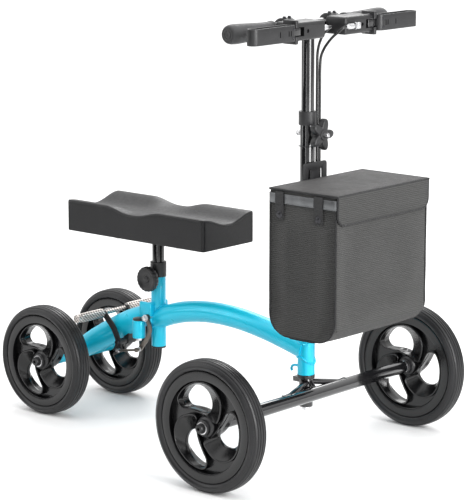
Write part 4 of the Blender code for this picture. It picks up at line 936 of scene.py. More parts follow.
star_rows = [(0.0125, 0.0262, 0.0255), (0.0142, 0.0288, 0.0262), (0.0150, 0.0300, 0.0285),
             (0.0150, 0.0300, 0.0350),
             (0.0142, 0.0290, 0.0374), (0.0122, 0.0264, 0.0385), (0.0102, 0.0180, 0.0387)]
star = lofted("star", [star_loop(*row) for row in star_rows], "satin", 45, ring=False)
hub_profile = round_corners([(0, 0.0140), (0.0085, 0.0140), (0.0095, 0.0250), (0.0100, 0.0402), (0, 0.0405)],
                            0.0012)
star_hub = turned("hub", hub_profile, star_at, X_AXIS, "satin", 48, closed=False)
put(joined("star_knob", [star, star_hub]), "star_knob", "black_plastic", "star_knob")
stud_profile = round_corners([(0, 0.0121), (0.0040, 0.0121), (0.0040, 0.0490), (0, 0.0498)], 0.0008)
put(turned("star_stud", stud_profile, star_at, X_AXIS, "steel", 32, closed=False), "star_knob", "zinc_steel")


# ---------------------------------------------------------------- bag
BAG_BACK, BAG_FRONT = low_of("bag_body").x, high_of("bag_body").x
BAG_HALF = high_of("bag_body").y
BAG_FOOT, BAG_TOP = low_of("bag_body").z, high_of("bag_body").z
BAG_CORNER, EDGE_ROUND = 0.0420, 0.0050
STRIP_LOW, STRIP_HIGH = 0.4980, 0.5140
LID_TOP = 0.5232
LID_FRONT = high_of("bag_lid").x


def box_grid(low, high, step, open_top=False):
    """The surface of a box as a grid of small faces."""
    low, high = Vector(low), Vector(high)
    counts = [max(2, round((high[i] - low[i]) / step)) for i in range(3)]
    shape = bmesh.new()
    for fixed in range(3):
        first, second = [i for i in range(3) if i != fixed]
        for end in (low, high):
            if open_top and fixed == 2 and end is high:
                continue
            grid = []
            for i in range(counts[first] + 1):
                row = []
                for j in range(counts[second] + 1):
                    spot = Vector((0, 0, 0))
                    spot[fixed] = end[fixed]
                    spot[first] = low[first] + (high[first] - low[first]) * i / counts[first]
                    spot[second] = low[second] + (high[second] - low[second]) * j / counts[second]
                    row.append(shape.verts.new(spot))
                grid.append(row)
            for i in range(counts[first]):
                for j in range(counts[second]):
                    shape.faces.new([grid[i][j], grid[i + 1][j], grid[i + 1][j + 1], grid[i][j + 1]])
    bmesh.ops.remove_doubles(shape, verts=shape.verts, dist=1e-5)
    return shape


def rounded_to(point, low, high, radius, axes=(0, 1, 2), open_top=False):
    """Moves a point of a box's surface on to the same box with round edges."""
    inner = Vector(point)
    for axis in axes:
        top = high[axis] if open_top and axis == 2 else high[axis] - radius
        inner[axis] = min(max(point[axis], low[axis] + radius), top)
    out = point - inner
    return inner + out.normalized() * radius if out.length > 1e-9 else Vector(point)


def bag_surface(point):
    """Where the slack cloth of a point on the bag's plain box lies."""
    low, high = Vector((BAG_BACK, -BAG_HALF, BAG_FOOT)), Vector((BAG_FRONT, BAG_HALF, BAG_TOP))
    spot = rounded_to(point, low, high, BAG_CORNER, (0, 2), open_top=True)
    spot = rounded_to(spot, low, high, EDGE_ROUND, (0, 1), open_top=True)
    across = 2 * spot.y / (high.y - low.y)
    along = 2 * (spot.x - low.x) / (high.x - low.x) - 1
    height = (spot.z - low.z) / (high.z - low.z)
    belly = math.sin(math.pi * min(1, max(0, height))) ** 0.8
    slack = noise.noise(Vector((spot.x * 16, spot.y * 11, spot.z * 9)))
    fine = noise.noise(Vector((spot.x * 40 + 7, spot.y * 34, spot.z * 26)))
    under_strip = 1 - math.exp(-max(0.0, STRIP_LOW - spot.z) / 0.020)
    folds = 0.0006 * slack + 0.0003 * fine
    if abs(point.x - high.x) < 1e-6:
        spot.x += (0.0026 * belly * (1 - across ** 4) + folds) * under_strip
    if abs(point.x - low.x) < 1e-6:
        spot.x -= (0.0004 * belly * (1 - across ** 4) + 0.3 * folds) * under_strip
    if abs(abs(point.y) - high.y) < 1e-6:
        puff = 0.0018 * belly * (1 - along ** 4) + folds
        spot.y += math.copysign(puff, point.y) * under_strip
    if abs(point.z - low.z) < 1e-6:
        spot.z -= 0.0022 * (1 - across ** 4) * (1 - along ** 4)
    return spot


bag_shape = box_grid((BAG_BACK, -BAG_HALF, BAG_FOOT), (BAG_FRONT, BAG_HALF, BAG_TOP), 0.0055, open_top=True)
for vertex in bag_shape.verts:
    vertex.co = bag_surface(vertex.co.copy())
bag = add_piece("bag_body", bag_shape, "cloth", 60)
if sum(face.normal.x * (face.center.x - 0.35) for face in bag.data.polygons) < 0:
    bag.data.flip_normals()
wall = bag.modifiers.new("Wall", "SOLIDIFY")
wall.thickness, wall.offset = 0.0022, -1
wall.material_offset, wall.material_offset_rim = 1, 1
bag.data.materials.append(MATERIALS["lining"])
put(settle(bag, 60), "column", "bag_fabric", "bag_body")


def bag_edge(side):
    """The seam between a side panel and the front, bottom and back."""
    y = side * (BAG_HALF - 0.0012)
    points = [Vector((BAG_BACK + 0.0012, y, z)) for z in (0.512, 0.48, 0.44, 0.40, 0.36, 0.32)]
    for start, x in ((180, BAG_BACK + BAG_CORNER), (270, BAG_FRONT - BAG_CORNER)):
        points += [Vector((u, y, v)) for u, v in
                   arc(x, BAG_FOOT + BAG_CORNER, BAG_CORNER - 0.0008, start, start + 90, 6)]
        if start == 180:
            points += [Vector((x, y, BAG_FOOT + 0.0008)) for x in
                       (BAG_BACK + BAG_CORNER + (BAG_FRONT - BAG_BACK - 2 * BAG_CORNER) * share
                         for share in (0.25, 0.50, 0.75))]
    points += [Vector((BAG_FRONT - 0.0008, y, z)) for z in (0.32, 0.36, 0.40, 0.44, 0.48, 0.497)]
    wobble = [p + Vector((0.0004 * noise.noise(p * 60),
                          0.0006 * side * noise.noise(p * 45 + Vector((3, 0, 0))),
                          0.0004 * noise.noise(p * 50))) for p in points]
    return smooth_route(wobble, 4)


for side, word in SIDES:
    put(swept("bag_piping_" + word, bag_edge(side), 0.0019, "piping", 14), "column", "bag_fabric")


def flat_ring(grow, corner):
    """A round-cornered rectangle round the bag, seen from above."""
    return round_rect((BAG_BACK - grow, -BAG_HALF - grow), (BAG_FRONT + grow, BAG_HALF + grow), corner)


put(slab("bag_frame", flat_ring(0.0018, 0.0062), STRIP_LOW, STRIP_HIGH, Matrix.Identity(4), "strip", 0.0003,
         holes=[flat_ring(0.0003, 0.0050)]), "column", "zinc_steel", "bag_frame")
rolled = []
for z in (STRIP_LOW, STRIP_HIGH):
    loop = [Vector((x, y, z)) for x, y in flat_ring(0.0016, 0.0062)]
    rolled.append(swept("roll", loop, 0.0009, "strip", 10, loop=True))
put(joined("bag_frame_edges", rolled), "column", "zinc_steel")


def bent_strap(side, x, half, top, foot, lift=0.0):
    """A webbing tab: up the panel, over the metal strip and down inside the bag."""
    y = side * BAG_HALF
    out = side * 0.0036
    path = [(out * 0.55 + lift * side, foot), (out * 0.62 + lift * side, foot + 0.008),
            (out * 0.75, STRIP_LOW - 0.004),
            (out, STRIP_LOW + 0.001), (out, STRIP_HIGH - 0.001), (out * 0.7, STRIP_HIGH + 0.0025),
            (-side * 0.0010, top), (-side * 0.0046, top - 0.003), (-side * 0.0050, foot + 0.012)]
    route = smooth_route([Vector((0, y + dy, z)) for dy, z in path], 5)
    thick = 0.0007
    loops = []
    for index, place in enumerate(route):
        ahead = (route[min(index + 1, len(route) - 1)] - route[max(index - 1, 0)]).normalized()
        normal = Vector((0, -ahead.z, ahead.y))
        loops.append([place + Vector((x - half, 0, 0)) + normal * thick,
                      place + Vector((x - half, 0, 0)) - normal * thick,
                      place + Vector((x + half, 0, 0)) - normal * thick,
                      place + Vector((x + half, 0, 0)) + normal * thick])
    return lofted("strap", loops, "webbing", 40, ring=False)


for side, word in SIDES:
    straps, snaps = [], []
    for start, end in ((0.0165, 0.0345), (0.1035, 0.1225)):
        middle, half = BAG_BACK + (start + end) / 2, (end - start) / 2
        straps.append(bent_strap(side, middle, half, STRIP_HIGH + 0.0035, 0.4680))
        snap_profile = [(0, -0.0004), (0.0064, -0.0004), (0.0066, 0.0006), (0.0058, 0.0014), (0.0052, 0.0016),
                        (0.0044, 0.0022), (0.0024, 0.0030), (0, 0.0032)]
        snaps.append(turned("snap", snap_profile, Vector((middle, side * (BAG_HALF + 0.0030), 0.4775)),
                            Y_AXIS * side,
                            "dull", 36, closed=False))
    put(joined("bag_straps_" + word, straps), "column", "bag_fabric")
    put(joined("bag_snaps_" + word, snaps), "column", "zinc_steel")

LID_LOW = (BAG_BACK, -BAG_HALF - 0.0015, BAG_TOP + 0.0004)
LID_HIGH = (LID_FRONT, BAG_HALF + 0.0015, LID_TOP)
lid_shape = box_grid(LID_LOW, LID_HIGH, 0.0060)
for vertex in lid_shape.verts:
    spot = rounded_to(vertex.co.copy(), LID_LOW, LID_HIGH, 0.0018)
    across = 2 * spot.y / (LID_HIGH[1] - LID_LOW[1])
    along = 2 * (spot.x - LID_LOW[0]) / (LID_HIGH[0] - LID_LOW[0]) - 1
    crown = (1 - across ** 4) * (1 - along ** 4)
    if spot.z > (LID_LOW[2] + LID_HIGH[2]) / 2:
        spot.z += 0.0018 * crown + 0.0006 * crown * noise.noise(Vector((spot.x * 22, spot.y * 18, 0)))
    vertex.co = spot
# The lid's top takes the darker copy of the bag cloth: painted shade.
lid_top = add_piece("lid_top", lid_shape, "lid", 50)
half, foot, flap_corner = BAG_HALF - 0.0010, 0.4700, 0.0180
flap_outline = [(-half, LID_TOP - 0.0014),
                *arc(flap_corner - half, foot + flap_corner, flap_corner, 180, 270, 8),
                *arc(half - flap_corner, foot + flap_corner, flap_corner, 270, 360,
                     8), (half, LID_TOP - 0.0014)]
flap_x = LID_FRONT - 0.0028
flap = slab("flap", flap_outline, 0.0001, 0.0027, Matrix.Translation((flap_x, 0, 0)) @ turn_x, "cloth",
            0.0008)
put(joined("bag_lid", [lid_top, flap]), "bag_lid", "bag_fabric", "bag_lid")
binding = [Vector((flap_x + 0.0014, u, v)) for u, v in flap_outline]
flap_edge = swept("flap_binding", binding, 0.0020, "piping", 12)
rim_stations = (LID_FRONT - 0.0016, 0.38, 0.33, BAG_BACK + 0.0015)
lid_rim = [Vector((x, side * (BAG_HALF + 0.0012), 0.5216)) for side, stations in
           ((-1, rim_stations), (1, rim_stations[::-1])) for x in stations]
top_edge = swept("top_binding", lid_rim, 0.0019, "piping", 12, loop=True)
put(joined("lid_binding", [flap_edge, top_edge]), "bag_lid", "bag_fabric")


# ---------------------------------------------------------------- handlebar
bar_top = on_column(BAR_Z)
upper_low = low_of("upper_column").z
put(tube("upper_column", 0.0117, 0.0102, on_column(upper_low), on_column(BAR_Z - 0.0040), "black"),
    "handlebar", "black_paint", "upper_column")
bar = tube("bar", 0.0111, 0.0093, bar_top - Y_AXIS * 0.2140, bar_top + Y_AXIS * 0.2140, "black")
collar_bead = weld_bead("bar_weld",
                        [Vector((COLUMN_X + u, v, BAR_Z - math.sqrt(max(0.0111 ** 2 - u ** 2, 0))))
                                     for u, v in ring_of(0.0117, 20)], "black", 0.0015)
put(joined("handlebar", [bar, collar_bead]), "handlebar", "black_paint", "handlebar")

HOUSING_LOW, HOUSING_HIGH = COLUMN_X + 0.0165, COLUMN_X + 0.0630
HOUSING_INNER, HOUSING_OUTER = 0.0280, 0.1125
LEVER_X, LEVER_Y = COLUMN_X + 0.0560, 0.1025
LOOP_BACK, LOOP_FRONT = COLUMN_X + 0.0495, COLUMN_X + 0.0725
LOOP_INNER, LOOP_OUTER = 0.1185, 0.2350


def loop_outline(side, inset=0.0):
    """The outline of a brake loop with round ends, seen from above, or of the hole this far inside it."""
    radius, middle = (LOOP_FRONT - LOOP_BACK) / 2 - inset, (LOOP_FRONT + LOOP_BACK) / 2
    far = arc(middle, LOOP_OUTER - inset - radius, radius, 0, 180, 16)
    near = arc(middle, LOOP_INNER + inset + radius, radius, 180, 360, 16)
    return [(x, side * y) for x, y in far + near]


for side, word in SIDES:
    grip_profile = [(0.0114, 0.1000), (0.0143, 0.1000), (0.0152, 0.1008), (0.0160, 0.1030), (0.0160, 0.1060),
                    (0.0153, 0.1080), (0.0150, 0.1130), (0.0150, 0.1250), (0.0154, 0.1400), (0.0160, 0.1560),
                    (0.0167, 0.1720), (0.0174, 0.1880), (0.0178, 0.2000), (0.0177, 0.2070), (0.0172, 0.2130),
                    (0.0160, 0.2175), (0.0146, 0.2197), (0.0126, 0.2205), (0.0122, 0.2196), (0.0116, 0.2196),
                    (0.0112, 0.2205), (0.0078, 0.2207), (0.0074, 0.2196), (0.0066, 0.2196), (0.0062, 0.2205),
                    (0.0030, 0.2204), (0, 0.2190), (0, 0.2143), (0.0114, 0.2143)]
    put(turned("grip_" + word, grip_profile, bar_top, Y_AXIS * side, "grip", 72, smooth=50), "handlebar",
        "grip_rubber", "grip_" + word)

    low_y, high_y = sorted((side * HOUSING_INNER, side * HOUSING_OUTER))
    housing = rounded_box("housing", (HOUSING_LOW, low_y, BAR_Z - 0.0160),
                          (HOUSING_HIGH, high_y, BAR_Z + 0.0160),
                          0.0045, "satin", 4)
    wrap = rod("wrap", 0.0186, bar_top + Y_AXIS * side * 0.051, bar_top + Y_AXIS * side * 0.077, "satin",
               0.0020, 56)
    boolean(housing, "UNION", [wrap])
    slot_low, slot_high = sorted((side * 0.0885, side * 0.1225))
    bore = rod("bore", 0.0113, bar_top, bar_top + Y_AXIS * side * 0.1100, "satin", 0.0, 48)
    mouth_corners = ((COLUMN_X + 0.0430, slot_low, BAR_Z - 0.0080),
                     (COLUMN_X + 0.0720, slot_high, BAR_Z + 0.0080))
    mouth = rounded_box("mouth", *mouth_corners, 0.0008, "satin")
    seam = rounded_box("seam", (HOUSING_HIGH - 0.0006, low_y + 0.006, BAR_Z + 0.0008 + 0.0090),
                       (HOUSING_HIGH + 0.002,
                       high_y - 0.006, BAR_Z + 0.0014 + 0.0090), 0.0002, "satin")
    screw_hole = rod("hole", 0.0034, Vector((HOUSING_HIGH - 0.0045, side * 0.0780, BAR_Z)),
                     Vector((HOUSING_HIGH + 0.003, side * 0.0780, BAR_Z)), "satin", 0.0, 28)
    boolean(housing, "DIFFERENCE", [bore, mouth, seam, screw_hole])
    put(housing, "handlebar", "black_plastic", "lever_housing_" + word)
    band_screws = [hex_bolt("screw", Vector((COLUMN_X + 0.0030, side * y, BAR_Z + 0.0178)), Z_AXIS, 0.0058,
                            0.0026,
                            "dull", socket=True) for y in (0.0570, 0.0710)]
    band_screws.append(rod("hole_screw", 0.0031, Vector((HOUSING_HIGH - 0.0044, side * 0.0780, BAR_Z)),
                           Vector((HOUSING_HIGH - 0.0022, side * 0.0780, BAR_Z)), "dull", 0.0005, 24))
    band_screws += [rod("pivot_cap", 0.0046, Vector((LEVER_X, side * LEVER_Y, BAR_Z + s * 0.0155)),
                        Vector((LEVER_X, side * LEVER_Y,
                                BAR_Z + s * 0.0168)), "dull", 0.0005, 28) for s in (1, -1)]
    put(joined("housing_screws_" + word, band_screws), "handlebar", "zinc_steel")
    keep_low, keep_high = sorted((side * 0.1085, side * 0.1160))
    keeper = rounded_box("keeper", (HOUSING_HIGH - 0.0270, keep_low, BAR_Z - 0.0212),
                         (HOUSING_HIGH + 0.0038, keep_high, BAR_Z + 0.0212), 0.0020, "satin")
    boolean(keeper, "DIFFERENCE", [rounded_box("pass", *mouth_corners, 0.0006, "satin")])
    put(keeper, "handlebar", "black_plastic")

    band = slab("band", loop_outline(side), -0.0145, 0.0145, Matrix.Translation((0, 0, BAR_Z)), "satin",
                0.0009,
                segments=3, holes=[loop_outline(side, 0.0030)])
    tab_low, tab_high = sorted((side * (LEVER_Y - 0.0060), side * (LOOP_INNER + 0.0025)))
    tab = rounded_box("tab", (LEVER_X - 0.0060, tab_low, BAR_Z - 0.0068),
                      (LEVER_X + 0.0060, tab_high, BAR_Z + 0.0068),
                      0.0014, "black")
    trunnion = rod("trunnion", 0.0030, (LEVER_X, side * LEVER_Y, BAR_Z - 0.0125),
                   (LEVER_X, side * LEVER_Y, BAR_Z + 0.0125),
                   "dull", 0.0004, 24)
    slits = [sorted((side * y, side * (y + 0.0022))) for y in (0.1345, 0.1405, 0.1640)]
    cuts = [rounded_box("slit", (LOOP_FRONT - 0.006, near, BAR_Z - 0.0050),
                        (LOOP_FRONT + 0.002, far, BAR_Z + 0.0050),
                        0.0006, "black") for near, far in slits]
    boolean(band, "DIFFERENCE", cuts)
    put(joined("brake_loop_" + word, [band, tab, trunnion]), "loop_" + word, "black_paint",
        "brake_loop_" + word)
    loop_rivets = [turned("rivet", round_corners([(0, -0.0004), (0.0028, -0.0004), (0.0024, 0.0010),
                                                  (0, 0.0014)], 0.0004),
                          Vector((LOOP_FRONT, side * y, BAR_Z + z)), X_AXIS, "dull", 24, closed=False)
                   for y, z in ((0.1285, 0.0080), (0.1285, -0.0080))]
    put(joined("loop_rivets_" + word, loop_rivets), "loop_" + word, "zinc_steel")

barrel_profile = [(0, 0.0010), (0.0022, 0.0012), (0.0034, 0.0032), (0.0038, 0.0080), (0.0048, 0.0085),
                  (0.0050, 0.0098),
                  (0.0046, 0.0112), (0.0050, 0.0126), (0.0046, 0.0140), (0.0050, 0.0154), (0.0046, 0.0168),
                  (0.0050, 0.0182), (0.0048, 0.0205), (0.0035, 0.0210), (0.0035, 0.0279), (0, 0.0279)]
ADJUSTER_RIGHT, ADJUSTER_LEFT = COLUMN_X + 0.0480, COLUMN_X + 0.0690
put(turned("barrel", barrel_profile, at_height(ADJUSTER_RIGHT, BAR_Z), -Y_AXIS, "steel", 40, closed=False,
           smooth=30),
    "handlebar", "zinc_steel", "cable_adjuster_right")
left_barrel = [(radius, height + 0.0220 + 0.0060 * (height > 0.0207)) for radius, height in barrel_profile]
barrel = turned("barrel", left_barrel, at_height(ADJUSTER_LEFT, BAR_Z), Y_AXIS, "steel", 40, closed=False,
                smooth=30)
barrel_foot = rounded_box("foot", (HOUSING_HIGH - 0.0005, 0.0515, BAR_Z - 0.0055),
                          (ADJUSTER_LEFT + 0.0048, 0.0605, BAR_Z + 0.0055), 0.0014, "steel")
lock_ring = turned("ring", [(0.0052, 0.0462), (0.0066, 0.0462), (0.0066, 0.0490), (0.0052, 0.0490),
                            (0.0052, 0.0462)],
                   at_height(ADJUSTER_LEFT, BAR_Z), Y_AXIS, "steel", 40)
put(joined("cable_adjuster_left", [barrel, barrel_foot, lock_ring]), "handlebar", "zinc_steel",
    "cable_adjuster_left")


# ---------------------------------------------------------------- cables
CABLE = 0.0025
LINE_A, LINE_B = Vector((COLUMN_X + 0.0066, 0.0186, 0)), Vector((COLUMN_X + 0.0122, 0.0198, 0))
SPLIT_Z, DOUBLER_FOOT, DOUBLER_TOP = 0.7000, 0.3980, 0.4340
DOUBLER_AT = Vector((COLUMN_X + 0.0090, 0.0215, 0))
doubler_profile = [(0, DOUBLER_FOOT), (0.0032, DOUBLER_FOOT), (0.0052, DOUBLER_FOOT + 0.0020),
                   (0.0066, DOUBLER_FOOT + 0.006), (0.0068, DOUBLER_TOP - 0.005),
                   (0.0062, DOUBLER_TOP - 0.001), (0.0050, DOUBLER_TOP), (0, DOUBLER_TOP)]
doubler = turned("doubler", doubler_profile, DOUBLER_AT, Z_AXIS, "plastic", 40, closed=False)
runs = [rod("run", CABLE, line + Z_AXIS * (DOUBLER_TOP - 0.006), line + Z_AXIS * SPLIT_Z, "jacket",
            0.0002, 24) for line in (LINE_A, LINE_B)]
put(joined("cable_doubler", [doubler, *runs]), "column", "cable_jacket", "cable_doubler")
tie_turns = [2 * math.pi * step / 28 for step in range(28)]
tie_ring = [Vector((COLUMN_X + 0.0162 * math.cos(a) + 0.0030 * max(0.0, math.cos(a - 1.1)) + 0.001,
                    0.0162 * math.sin(a) + 0.0075 * max(0.0, math.sin(a)), 0)) for a in tie_turns]
ties = [swept("tie", [place + Z_AXIS * z for place in tie_ring], 0.0012, "plastic", 8, loop=True, flat=0.5,
              up=(0, 0, 1)) for z in (0.5800, 0.4480)]
put(joined("cable_ties", ties), "column", "black_plastic")

RIGHT_TOP = [Vector((ADJUSTER_RIGHT, -0.0040, BAR_Z)), Vector((ADJUSTER_RIGHT, 0.0060, BAR_Z)),
             *(Vector((COLUMN_X + x, y, z)) for x, y, z in (
                 (0.0400, 0.0110, 0.7955), (0.0300, 0.0140, 0.7895),
                 (0.0200, 0.0165, 0.7795), (0.0115, 0.0180, 0.7645),
                 (0.0070, 0.0186, 0.7465))),
             LINE_A + Z_AXIS * (SPLIT_Z + 0.0260), LINE_A + Z_AXIS * (SPLIT_Z - 0.0020)]
LEFT_TOP = [Vector((ADJUSTER_LEFT, 0.0260, BAR_Z)), Vector((ADJUSTER_LEFT, 0.0182, BAR_Z)),
            *(Vector((COLUMN_X + x, y, z)) for x, y, z in (
                (0.0660, 0.0130, 0.7945), (0.0580, 0.0105, 0.7875),
                (0.0470, 0.0120, 0.7795), (0.0340, 0.0165, 0.7695),
                (0.0220, 0.0190, 0.7565), (0.0140, 0.0198, 0.7405))),
            LINE_B + Z_AXIS * (SPLIT_Z + 0.0180), LINE_B + Z_AXIS * (SPLIT_Z - 0.0020)]
for word, places in (("right", RIGHT_TOP), ("left", LEFT_TOP)):
    cable = swept("brake_cable_top_" + word, smooth_route(places, 8), CABLE, "jacket", 20)
    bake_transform(cable)
    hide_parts("brake_cable_top_" + word)

SIDE_Y = TUBE_RADIUS + 0.0030
FRAME_JOINT = Vector((REAR_X + 0.5250, SIDE_Y, 0.2145))
lead = Vector((-0.0400, 0, 0.0090)).normalized()
BEND = [DOUBLER_AT + Z_AXIS * (DOUBLER_FOOT + 0.0020), DOUBLER_AT + Z_AXIS * (DOUBLER_FOOT - 0.0100),
        DOUBLER_AT + Vector((0.0005, 0.0080, 0.3650)), Vector((COLUMN_X + 0.0060, 0.0400, 0.3250)),
        Vector((COLUMN_X - 0.0060, 0.0440, 0.2850)), Vector((COLUMN_X - 0.0180, 0.0360, 0.2450)),
        Vector((COLUMN_X - 0.0290, 0.0275, 0.2200)), FRAME_JOINT - lead * 0.0110, FRAME_JOINT + lead * 0.0010]
bend_route = smooth_route(BEND, 10)
meeting = min(range(len(bend_route)), key=lambda i: abs(bend_route[i].z - 0.2950))
upper_bend = swept("brake_cable_bend", bend_route[:meeting + 1], CABLE, "jacket", 20)
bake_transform(upper_bend)
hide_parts("brake_cable_bend")
lower_bend = swept("brake_cable_turn", bend_route[meeting:], CABLE, "jacket", 20)
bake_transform(lower_bend)

along = [(0.4850, 0.2235), (0.4300, 0.2325), (0.3800, 0.2362), (0.3300, 0.2348), (0.2800, 0.2275),
         (0.2450, 0.2190)]
frame_cable = [FRAME_JOINT, FRAME_JOINT + lead * 0.0110, *(Vector((REAR_X + s, SIDE_Y, z)) for s, z in along),
               Vector((REAR_X + 0.2250, SIDE_Y + 0.0040,
                       0.2160)), Vector((REAR_X + 0.2130, SIDE_Y + 0.0072, 0.2160))]
put(swept("brake_cable_frame", smooth_route(frame_cable, 8), CABLE, "jacket", 20), "frame", "cable_jacket",
    "brake_cable_frame")
clips = [rounded_box("clip", (REAR_X + station - 0.0030, 0.0186, z - 0.0055),
                     (REAR_X + station + 0.0030, 0.0275, z + 0.0055), 0.0012, "plastic")
         for station, z in ((0.5000, 0.2203), (0.3800, 0.2362), (0.2650, 0.2240))]
put(joined("cable_clips", clips), "frame", "black_plastic")


# ---------------------------------------------------------------- knee rest
PAD_LOW, PAD_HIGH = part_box("seat_pad")
PAD_X = (PAD_LOW.x + PAD_HIGH.x) / 2
PAD_FOOT, PAD_TOP = PAD_LOW.z, PAD_HIGH.z
CHANNEL_DEPTH = 0.0158
post_low = low_of("seat_post").z
put(tube("seat_post", 0.0120, 0.0105, at_height(SEAT_X, post_low), at_height(SEAT_X, 0.3625), "black"),
    "knee_rest",
    "black_paint", "seat_post")
plate_piece = rounded_box("seat_plate", (PAD_X - 0.0900, -0.0450, 0.3628), (PAD_X + 0.0900, 0.0450, 0.3672),
                          0.0014, "black")
flange = turned("flange",
                round_corners([(0.0118, 0.3560), (0.0130, 0.3560), (0.0142, 0.3600), (0.0190, 0.3624),
                                         (0.0190, 0.3634), (0.0118, 0.3634), (0.0118, 0.3560)], 0.0006)[:-1],
                at_height(SEAT_X, 0), Z_AXIS, "black", 56)
put(joined("seat_plate", [plate_piece, flange]), "knee_rest", "black_paint", "seat_plate")
plate_bolts = [hex_bolt("bolt", Vector((PAD_X + u * 0.0780, v * 0.0340, 0.3628)), -Z_AXIS, 0.0090, 0.0040,
                        "steel")
               for u in (-1, 1) for v in (-1, 1)]
put(joined("plate_bolts", plate_bolts), "knee_rest", "zinc_steel")
board = slab("pad_board", [(PAD_X + x, y) for x, y in
                           [(su * (0.1700 - 0.014) + 0.014 * math.cos(math.radians(a)),
                             sv * (0.0650 - 0.014) + 0.014 * math.sin(math.radians(a)))
                            for su, sv, s in ((1, 1, 0), (-1, 1, 90), (-1, -1, 180), (1, -1, 270))
                            for a in (s, s + 22, s + 45, s + 67, s + 90)]],
             0.3674, 0.3700, Matrix.Identity(4), "plastic", 0.0006)
put(board, "knee_rest", "black_plastic")


def smooth_step(low, high, value):
    """Rises smoothly from 0 at low to 1 at high."""
    share = min(1.0, max(0.0, (value - low) / (high - low)))
    return share * share * (3 - 2 * share)


def channels(u, v):
    """Depth of the two crossing channels at (u, v), each -1 to 1 over the cushion."""
    lengthwise = 1 - smooth_step(0.08, 0.95, abs(v))
    crosswise = 0.72 * (1 - smooth_step(0.04, 0.40, abs(u + 0.03)))
    return CHANNEL_DEPTH * (lengthwise + crosswise - lengthwise * crosswise)


INSET = 0.0004
PAD_CORNER, PAD_EDGE = 0.0050, 0.0038
pad_low = Vector((PAD_LOW.x + INSET, PAD_LOW.y + INSET, PAD_FOOT))
pad_high = Vector((PAD_HIGH.x - INSET, PAD_HIGH.y - INSET, PAD_TOP))
pad_shape = box_grid(pad_low, pad_high, 0.0042)
seam_numbers = []
for number, vertex in enumerate(pad_shape.verts):
    ends = [min(abs(vertex.co[i] - pad_low[i]), abs(vertex.co[i] - pad_high[i])) < 1e-6 for i in range(3)]
    if sum(ends) > 1 or vertex.co.z < PAD_FOOT + 0.0010:
        seam_numbers.append(number)
    spot = rounded_to(vertex.co.copy(), pad_low, pad_high, PAD_CORNER, (0, 1))
    deeper = Vector((pad_low.x, pad_low.y, pad_low.z - 0.05))
    spot = rounded_to(spot, deeper, pad_high, PAD_EDGE)
    u, v = 2 * (spot.x - PAD_X) / (pad_high.x - pad_low.x), 2 * spot.y / (pad_high.y - pad_low.y)
    height = (spot.z - PAD_FOOT) / (pad_high.z - PAD_FOOT)
    spot.z -= channels(u, v) * height ** 1.5
    vertex.co = spot
pad = add_piece("knee_cushion", pad_shape, "vinyl", 70)


def puff_up(piece, pinned_numbers, cap):
    """Blows the cover up as cloth over foam between its seams, and caps how far a point moves."""
    rest = [v.co.copy() for v in piece.data.vertices]
    pinned = piece.vertex_groups.new(name="pinned")
    pinned.add(pinned_numbers, 1.0, "REPLACE")
    cloth = piece.modifiers.new("Cloth", "CLOTH")
    cloth.settings.use_pressure = True
    cloth.settings.uniform_pressure_force = 3.0
    cloth.settings.effector_weights.gravity = 0.0
    cloth.settings.vertex_group_mass = "pinned"
    cloth.settings.tension_stiffness = cloth.settings.compression_stiffness = 15.0
    cloth.settings.bending_stiffness = 0.5
    cloth.point_cache.frame_start, cloth.point_cache.frame_end = 1, 16
    for number in range(1, 17):
        bpy.context.scene.frame_set(number)
    settle(piece, 70)
    for vertex, start in zip(piece.data.vertices, rest):
        move = vertex.co - start
        if move.length > cap:
            vertex.co = start + move.normalized() * cap
    bpy.context.scene.frame_set(1)
    return piece


puff_up(pad, seam_numbers, 0.0016)
finer = pad.modifiers.new("Finer", "SUBSURF")
finer.levels = finer.render_levels = 1
settle(pad, 70)
put(pad, "knee_rest", "vinyl", "seat_pad")


def surface_hit(start, toward):
    """The first point of the cushion on the way from start, or None."""
    hit, place, _, _ = pad.ray_cast(start, toward)
    return place if hit else None


def plan_point(turn):
    """A place on the cushion's outline at a share of the way round, and its outward direction."""
    half_x, half_y, corner = (pad_high.x - pad_low.x) / 2, (pad_high.y - pad_low.y) / 2, PAD_CORNER
    sides = [2 * (half_y - corner), math.pi / 2 * corner, 2 * (half_x - corner), math.pi / 2 * corner] * 2
    starts = [((half_x, -half_y + corner), 0), ((half_x - corner, half_y - corner), 0),
              ((half_x - corner, half_y), 90), ((-half_x + corner, half_y - corner), 90),
              ((-half_x, half_y - corner), 180), ((-half_x + corner, -half_y + corner), 180),
              ((-half_x + corner, -half_y), 270), ((half_x - corner, -half_y + corner), 270)]
    left = turn * sum(sides)
    for index, (length, (place, degrees)) in enumerate(zip(sides, starts)):
        if left <= length or index == 7:
            a = math.radians(degrees)
            if index % 2 == 0:
                return (Vector((PAD_X + place[0] - left * math.sin(a), place[1] + left * math.cos(a), 0)),
                        Vector((math.cos(a), math.sin(a), 0)))
            b = a + left / corner
            return (Vector((PAD_X + place[0] + corner * math.cos(b), place[1] + corner * math.sin(b), 0)),
                    Vector((math.cos(b), math.sin(b), 0)))
        left -= length


